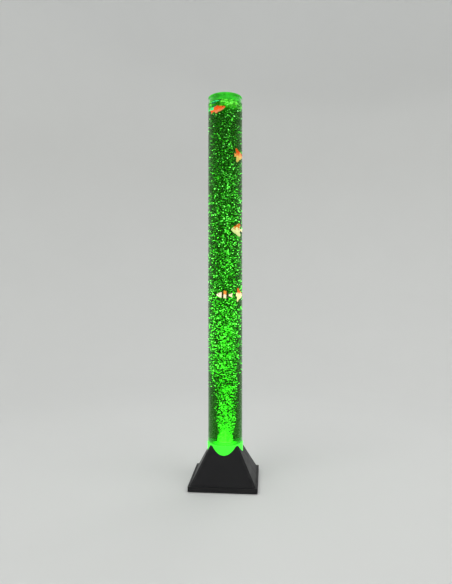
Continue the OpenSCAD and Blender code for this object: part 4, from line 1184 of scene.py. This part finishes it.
# A fin's root runs from start to end, and each step out is (x, z, growth, turn in degrees)
TALL_BACK = (
    (-0.05, 0.3, 0.94, 4), (-0.06, 0.28, 0.85, 5), (-0.06, 0.22, 0.7, 6), (-0.03, 0.1, 0.6, 6),
)
TALL_FINS = (
    {
        "start": (-0.26, -0.2), "end": (-0.26, 0.2), "notch": 0.03,
        "steps": (
            (-0.06, 0, 1.35, 0), (-0.06, 0, 1.3, 0), (-0.06, 0, 1.2, 0), (-0.03, 0, 1.1, 0),
        ),
    },
    {"start": (0.17, 0.62), "end": (-0.21, 0.42), "steps": TALL_BACK},
    {
        "start": (0.15, -0.62), "end": (-0.21, -0.42),
        "steps": tuple((x, -z, growth, -turn) for x, z, growth, turn in TALL_BACK),
    },
)
LONG_FINS = (
    {
        "start": (-0.26, -0.24), "end": (-0.26, 0.24), "notch": 0.05,
        "steps": (
            (-0.06, 0, 1.5, 0), (-0.06, 0, 1.45, 0), (-0.06, 0, 1.3, 0), (-0.04, 0, 1.15, 0),
        ),
    },
    {
        "start": (0.19, 0.68), "end": (-0.19, 0.5),
        "steps": ((-0.03, 0.25, 0.95, 2), (-0.03, 0.22, 0.9, 3), (-0.03, 0.16, 0.82, 3)),
    },
    {
        "start": (0.0, -0.7), "end": (-0.18, -0.48), "rays": 6,
        "steps": ((-0.02, -0.2, 0.95, -3), (-0.03, -0.2, 0.85, -4), (-0.02, -0.12, 0.7, -4)),
    },
)
SIDE_FIN = {
    "start": (0.14, -0.05), "end": (0.14, -0.3), "rays": 5,
    "steps": ((-0.04, -0.04, 1.25, 0), (-0.04, -0.05, 1.15, 0), (-0.03, -0.05, 0.85, 0)),
}
# length: the solid's length as a share of the fish's. spread and top: the height over all fins,
# and from the middle up to the highest fin, in half heights of the body
LONG_FORM = {"body": LONG_BODY, "fins": LONG_FINS, "length": 1.0, "spread": 2.6, "top": 1.35}
TALL_FORM = {"body": TALL_BODY, "fins": TALL_FINS, "length": 0.98, "spread": 2.9, "top": 1.45}
# How far each fish's back colour reaches down, how soft and how blotchy its edge is, its bands
# and its saddle, as shares of its length and height; bright is how strongly it glows with painted light
FISH_PAINT = {
    "orange": {"border": 0.34, "blur": 0.12, "mottle": 0.12, "bright": 0.7},
    "teal": {"border": 0.72, "blur": 0.1, "mottle": 0.15, "bright": 2.2},
    "banded": {"mottle": 0.06, "bands": ((0.37, 0.06), (0.68, 0.075)), "saddle": (0.36, 0.68, 0.54)},
    "amber": {"border": 0.5, "blur": 0.18, "mottle": 0.15, "bright": 1.3},
    "coral": {"border": 0.66, "blur": 0.06, "mottle": 0.4, "bright": 1.5},
    "gold": {"border": 0.62, "blur": 0.08, "mottle": 0.12, "bright": 1.4},
}


class FishFrame:
    """A fish's own frame, read from its solid: nose along X, back along Z, in metres."""

    def __init__(self, node, heading, tilt, form):
        self.form = form
        self.turn = Matrix.Rotation(heading, 3, "Z") @ Matrix.Rotation(-tilt, 3, "Y")
        spots = mesh_coords(NODES[node].data) @ np.array(self.turn)
        low, high = spots.min(0), spots.max(0)
        self.long = (high[0] - low[0]) / form["length"]
        self.high = (high[2] - low[2]) / form["spread"]
        self.thick = (high[1] - low[1]) / 2
        self.origin = Vector((low + high) / 2)
        self.origin.x = high[0] - self.long / 2
        self.origin.z = high[2] - self.high * form["top"]

    def x(self, share):
        return share * self.long

    def z(self, share):
        return share * self.high


def fish_body(fish):
    """A ring at the mouth, extruded and widened ring by ring to the root of the tail."""
    rings = [
        (fish.x(0.5 - place), width, height)
        for place, height, width in fish.form["body"]
    ]
    lips_x, width, height = rings[0]
    deselect()
    bpy.ops.mesh.primitive_circle_add(
        vertices=16, radius=1, fill_type="NGON", rotation=(0, math.pi / 2, 0),
        location=(lips_x, 0, 0),
    )
    body = bpy.context.object
    body.name = "body"
    settle(body)
    start_edit("SELECT")
    bpy.ops.transform.resize(value=(1, width * fish.thick, height * fish.high))
    draw_out(rings)
    open_mouth(fish, body, lips_x)
    face_outwards()
    apply_modifier(body, "SUBSURF", levels=2, render_levels=2)
    return body


def open_mouth(fish, body, lips_x):
    """Presses a small hollow into the front face, between the lips."""
    choose(body, "polygons", lambda spot: abs(spot.x - lips_x) < 0.01 * MM)
    bpy.ops.mesh.select_mode(type="FACE")
    bpy.ops.mesh.inset(thickness=fish.high * 0.035, depth=0)
    extrude((-fish.x(0.035), 0, 0))
    bpy.ops.transform.resize(value=(1, 0.6, 0.5))
    bpy.ops.mesh.select_mode(type="VERT")


def fish_fin(fish, start, end, steps, notch=0.0, side=0.0, rays=10):
    """A thin fin: its root drawn between two points of the body, then pulled out in steps of
    (x, z, growth, turn), with raised rays and a notched edge."""
    deselect()
    a = Vector((fish.x(start[0]), side * fish.thick, fish.z(start[1])))
    b = Vector((fish.x(end[0]), side * fish.thick, fish.z(end[1])))
    bpy.ops.mesh.primitive_grid_add(
        x_subdivisions=rays, y_subdivisions=1, size=1, rotation=(math.pi / 2, 0, 0)
    )
    fin = bpy.context.object
    fin.name = "fin"
    root_width = 0.2 * MM
    fin.scale = ((b - a).length, root_width, 1)
    settle(fin)
    lean = math.atan2(b.z - a.z, b.x - a.x)
    out = Vector((-math.sin(lean), 0, math.cos(lean)))
    if out.dot(Vector((steps[0][0] * fish.long, 0, steps[0][1] * fish.high))) < 0:
        lean, out = lean + math.pi, -out
    fin.rotation_euler = (0, -lean, 0)
    fin.location = (a + b) / 2
    settle(fin)
    middle = (a + b) / 2
    choose(fin, "vertices", lambda spot: (spot - middle).dot(out) > 0)
    for x, z, growth, turn in steps:
        move = Vector((fish.x(x), side * 0.07 * fish.thick, fish.z(z)))
        middle = middle + move
        extrude(move)
        bpy.ops.transform.resize(value=(growth,) * 3, center_override=middle)
        bpy.ops.transform.rotate(
            value=math.radians(turn), orient_axis="Y", center_override=middle
        )
    end_edit()
    edge = [vertex.index for vertex in fin.data.vertices if vertex.select]
    scallop(fish, fin, edge, out, notch)
    apply_modifier(fin, "SOLIDIFY", thickness=0.5 * MM, offset=0)
    apply_modifier(fin, "SUBSURF", levels=1, render_levels=1)
    return fin


def scallop(fish, fin, edge, out, notch):
    """Raises every other ray a little, draws its tip out and notches the middle of the edge."""
    points = fin.data.vertices
    tips = [points[i].co.copy() for i in edge]
    ends = sorted(tips, key=lambda tip: tip.z + tip.x * 0.01)
    along = ends[-1] - ends[0]
    order = sorted(range(len(edge)), key=lambda k: tips[k].dot(along))
    for rank, k in enumerate(order):
        inward = 1 - abs(2 * rank / (len(edge) - 1) - 1)
        pull = notch * fish.long * inward**1.3 - (0.012 * fish.long if rank % 2 else 0)
        points[edge[k]].co -= out * pull
    for vertex in points:
        if vertex.index % 2:
            vertex.co.y += 0.12 * MM * (1 if vertex.co.y >= 0 else -1)


def fish_eyes(fish):
    """Two domed eyes, set into the sides of the head."""
    eyes = []
    for side in (-1, 1):
        deselect()
        bpy.ops.mesh.primitive_uv_sphere_add(
            segments=20, ring_count=12, radius=fish.x(0.033), rotation=(-side * math.pi / 2, 0, 0),
            location=(fish.x(0.345), side * fish.thick * 0.62, fish.z(0.2)),
        )
        eye = bpy.context.object
        eye.scale = (1, 1, 0.62)
        settle(eye)
        eyes.append(eye)
    return eyes


def fins_of(fish):
    """The fins of the fish's form, and its two side fins."""
    fins = [fish_fin(fish, **fin) for fin in fish.form["fins"]]
    return fins + [fish_fin(fish, side=side * 0.78, **SIDE_FIN) for side in (-1, 1)]


def paint_map(piece):
    """Unwraps the piece from its side: along it from nose to tail, and from keel to back."""
    spots = mesh_coords(piece.data)
    low, high = spots.min(0), spots.max(0)
    share = (spots - low) / (high - low)
    corners = np.zeros(len(piece.data.loops), np.int32)
    piece.data.loops.foreach_get("vertex_index", corners)
    layer = piece.data.uv_layers.new(name="paint")
    flat = np.stack([1 - share[corners, 0], share[corners, 2]], 1)
    layer.data.foreach_set("uv", flat.astype(np.float32).ravel())


def fish_skin(name, back, belly, border=0.5, blur=0.12, mottle=0.2, bands=(), saddle=None,
              bright=1.0):
    """Painted soft plastic with fine scales. The back's colour meets the belly's in blotches,
    or fills only the saddle, between dark bands. The skin glows with painted light, for the lamp's light in
    the water, and each scale is darker at its edge with painted shade."""
    finish = Finish(name)
    fish = bpy.context.scene.lamp_fish
    paint_uv = finish.add("UVMap", uv_map="paint").outputs["UV"]
    axes = finish.add("SeparateXYZ", {"Vector": paint_uv}).outputs
    blotch = finish.span(
        finish.add("TexNoise", {"Vector": paint_uv, "Scale": 6, "Detail": 3}).outputs["Fac"],
        0.3, 0.7, -mottle, mottle,
    )
    edge = finish.math("ADD", axes["Y"], blotch)
    upper = finish.span(edge, border - blur, border + blur)
    skin = finish.mix(upper, belly, belly if saddle else back)
    wavy = finish.math("ADD", axes["X"], finish.times(blotch, 0.15))
    if saddle:
        start, end, low = saddle
        inside = finish.times(
            finish.span(wavy, start - 0.02, start + 0.02),
            finish.span(wavy, end + 0.02, end - 0.02), finish.span(edge, low - 0.06, low + 0.06),
        )
        skin = finish.mix(inside, skin, back)
    for middle, half in bands:
        off = finish.math("ABSOLUTE", finish.math("SUBTRACT", wavy, middle))
        skin = finish.mix(finish.span(off, half + 0.015, half - 0.015), skin, (0.02, 0.003, 0.002))
    # Painted shade: each scale is lighter in its middle and darker at its edge, as if shaded between scales.
    scales = finish.cells(paint_uv, 34)
    skin = finish.mix(1.0, skin, finish.span(scales, 0.0, 0.7, 1.08, 0.72), "MULTIPLY")
    # Painted light: the skin glows in its own colour, tinted by the fish light, so the fish show through the
    # water.
    finish.set(
        base_color=skin, roughness=0.28, coat_weight=0.4,
        emission_color=finish.mix(1.0, skin, fish.light, "MULTIPLY"),
        emission_strength=fish.glow * bright,
    )
    finish.bump(finish.times(scales, -1.0), 0.00012)
    return finish.material


def eye_finish():
    """A glossy black eye with a faint cloud in it."""
    finish = Finish("fish_eye")
    finish.set(
        base_color=finish.mix(finish.noise(0.0006), (0.004, 0.004, 0.005), (0.02, 0.02, 0.03)),
        roughness=0.06, coat_weight=1.0,
    )
    return finish.material


def build_fish(colour_name, form):
    """Models one toy fish in its own frame and sets it where its solid is."""
    settings = bpy.context.scene.lamp_fish
    heading, tilt, back, belly = (
        getattr(settings, f"{colour_name}_{word}") for word in ("heading", "tilt", "back", "belly")
    )
    node = colour_name + "_fish"
    fish = FishFrame(node, heading, tilt, form)
    body = fish_body(fish)
    fins = fins_of(fish)
    eyes = fish_eyes(fish)
    skin = fish_skin("fish_" + colour_name, back, belly, **FISH_PAINT[colour_name])
    eye_paint = eye_finish()
    for piece in (body, *fins):
        paint(piece, skin)
    for eye in eyes:
        paint(eye, eye_paint)
    activate(body)
    for piece in (*fins, *eyes):
        piece.select_set(True)
    bpy.ops.object.join()
    paint_map(body)
    body.name = node + "_toy"
    body.matrix_world = Matrix.Translation(fish.turn @ fish.origin) @ fish.turn.to_4x4()
    settle(body)
    smooth(body)
    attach(body, node)
    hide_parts(node)


class LongFishOperator(Operator):
    """Models the orange, the teal and the banded fish"""

    bl_idname = "bubble_lamp.long_fish"
    bl_label = "Long fish"

    def execute(self, context):
        for colour_name in ("orange", "teal", "banded"):
            build_fish(colour_name, LONG_FORM)
        return {"FINISHED"}


class TallFishOperator(Operator):
    """Models the amber, the coral and the gold fish"""

    bl_idname = "bubble_lamp.tall_fish"
    bl_label = "Tall fish"

    def execute(self, context):
        for colour_name in ("amber", "coral", "gold"):
            build_fish(colour_name, TALL_FORM)
        return {"FINISHED"}


# ---------- panel ----------


class LampPanel(Panel):
    """Lists the steps that dress the lamp, with their settings"""

    bl_idname = "VIEW3D_PT_bubble_lamp"
    bl_label = "Bubble Lamp"
    bl_space_type = "VIEW_3D"
    bl_region_type = "UI"
    bl_category = "Bubble Lamp"

    def draw(self, context):
        for step in STEPS:
            self.layout.operator(step.bl_idname)
        for settings in SETTINGS:
            box = self.layout.box()
            group = getattr(context.scene, settings)
            for prop in group.__annotations__:
                box.prop(group, prop)


SETTINGS = {
    "lamp_stage": StageSettings,
    "lamp_column": ColumnSettings,
    "lamp_bubbles": BubbleSettings,
    "lamp_fish": FishSettings,
}
STEPS = (
    StageOperator, BaseOperator, ColumnOperator, AirLineOperator, PumpOperator, BoardsOperator,
    ControlsOperator, LongFishOperator, TallFishOperator, WaterOperator, BubblesOperator,
    FoamOperator,
)


def register():
    for kind in (*SETTINGS.values(), *STEPS, LampPanel):
        bpy.utils.register_class(kind)
    for name, kind in SETTINGS.items():
        setattr(bpy.types.Scene, name, PointerProperty(type=kind))


def unregister():
    for name in SETTINGS:
        delattr(bpy.types.Scene, name)
    for kind in (LampPanel, *reversed(STEPS), *reversed(SETTINGS.values())):
        bpy.utils.unregister_class(kind)


def main():
    register()
    for step in STEPS:
        group, name = step.bl_idname.split(".")
        getattr(getattr(bpy.ops, group), name)()


if __name__ == "__main__":
    main()
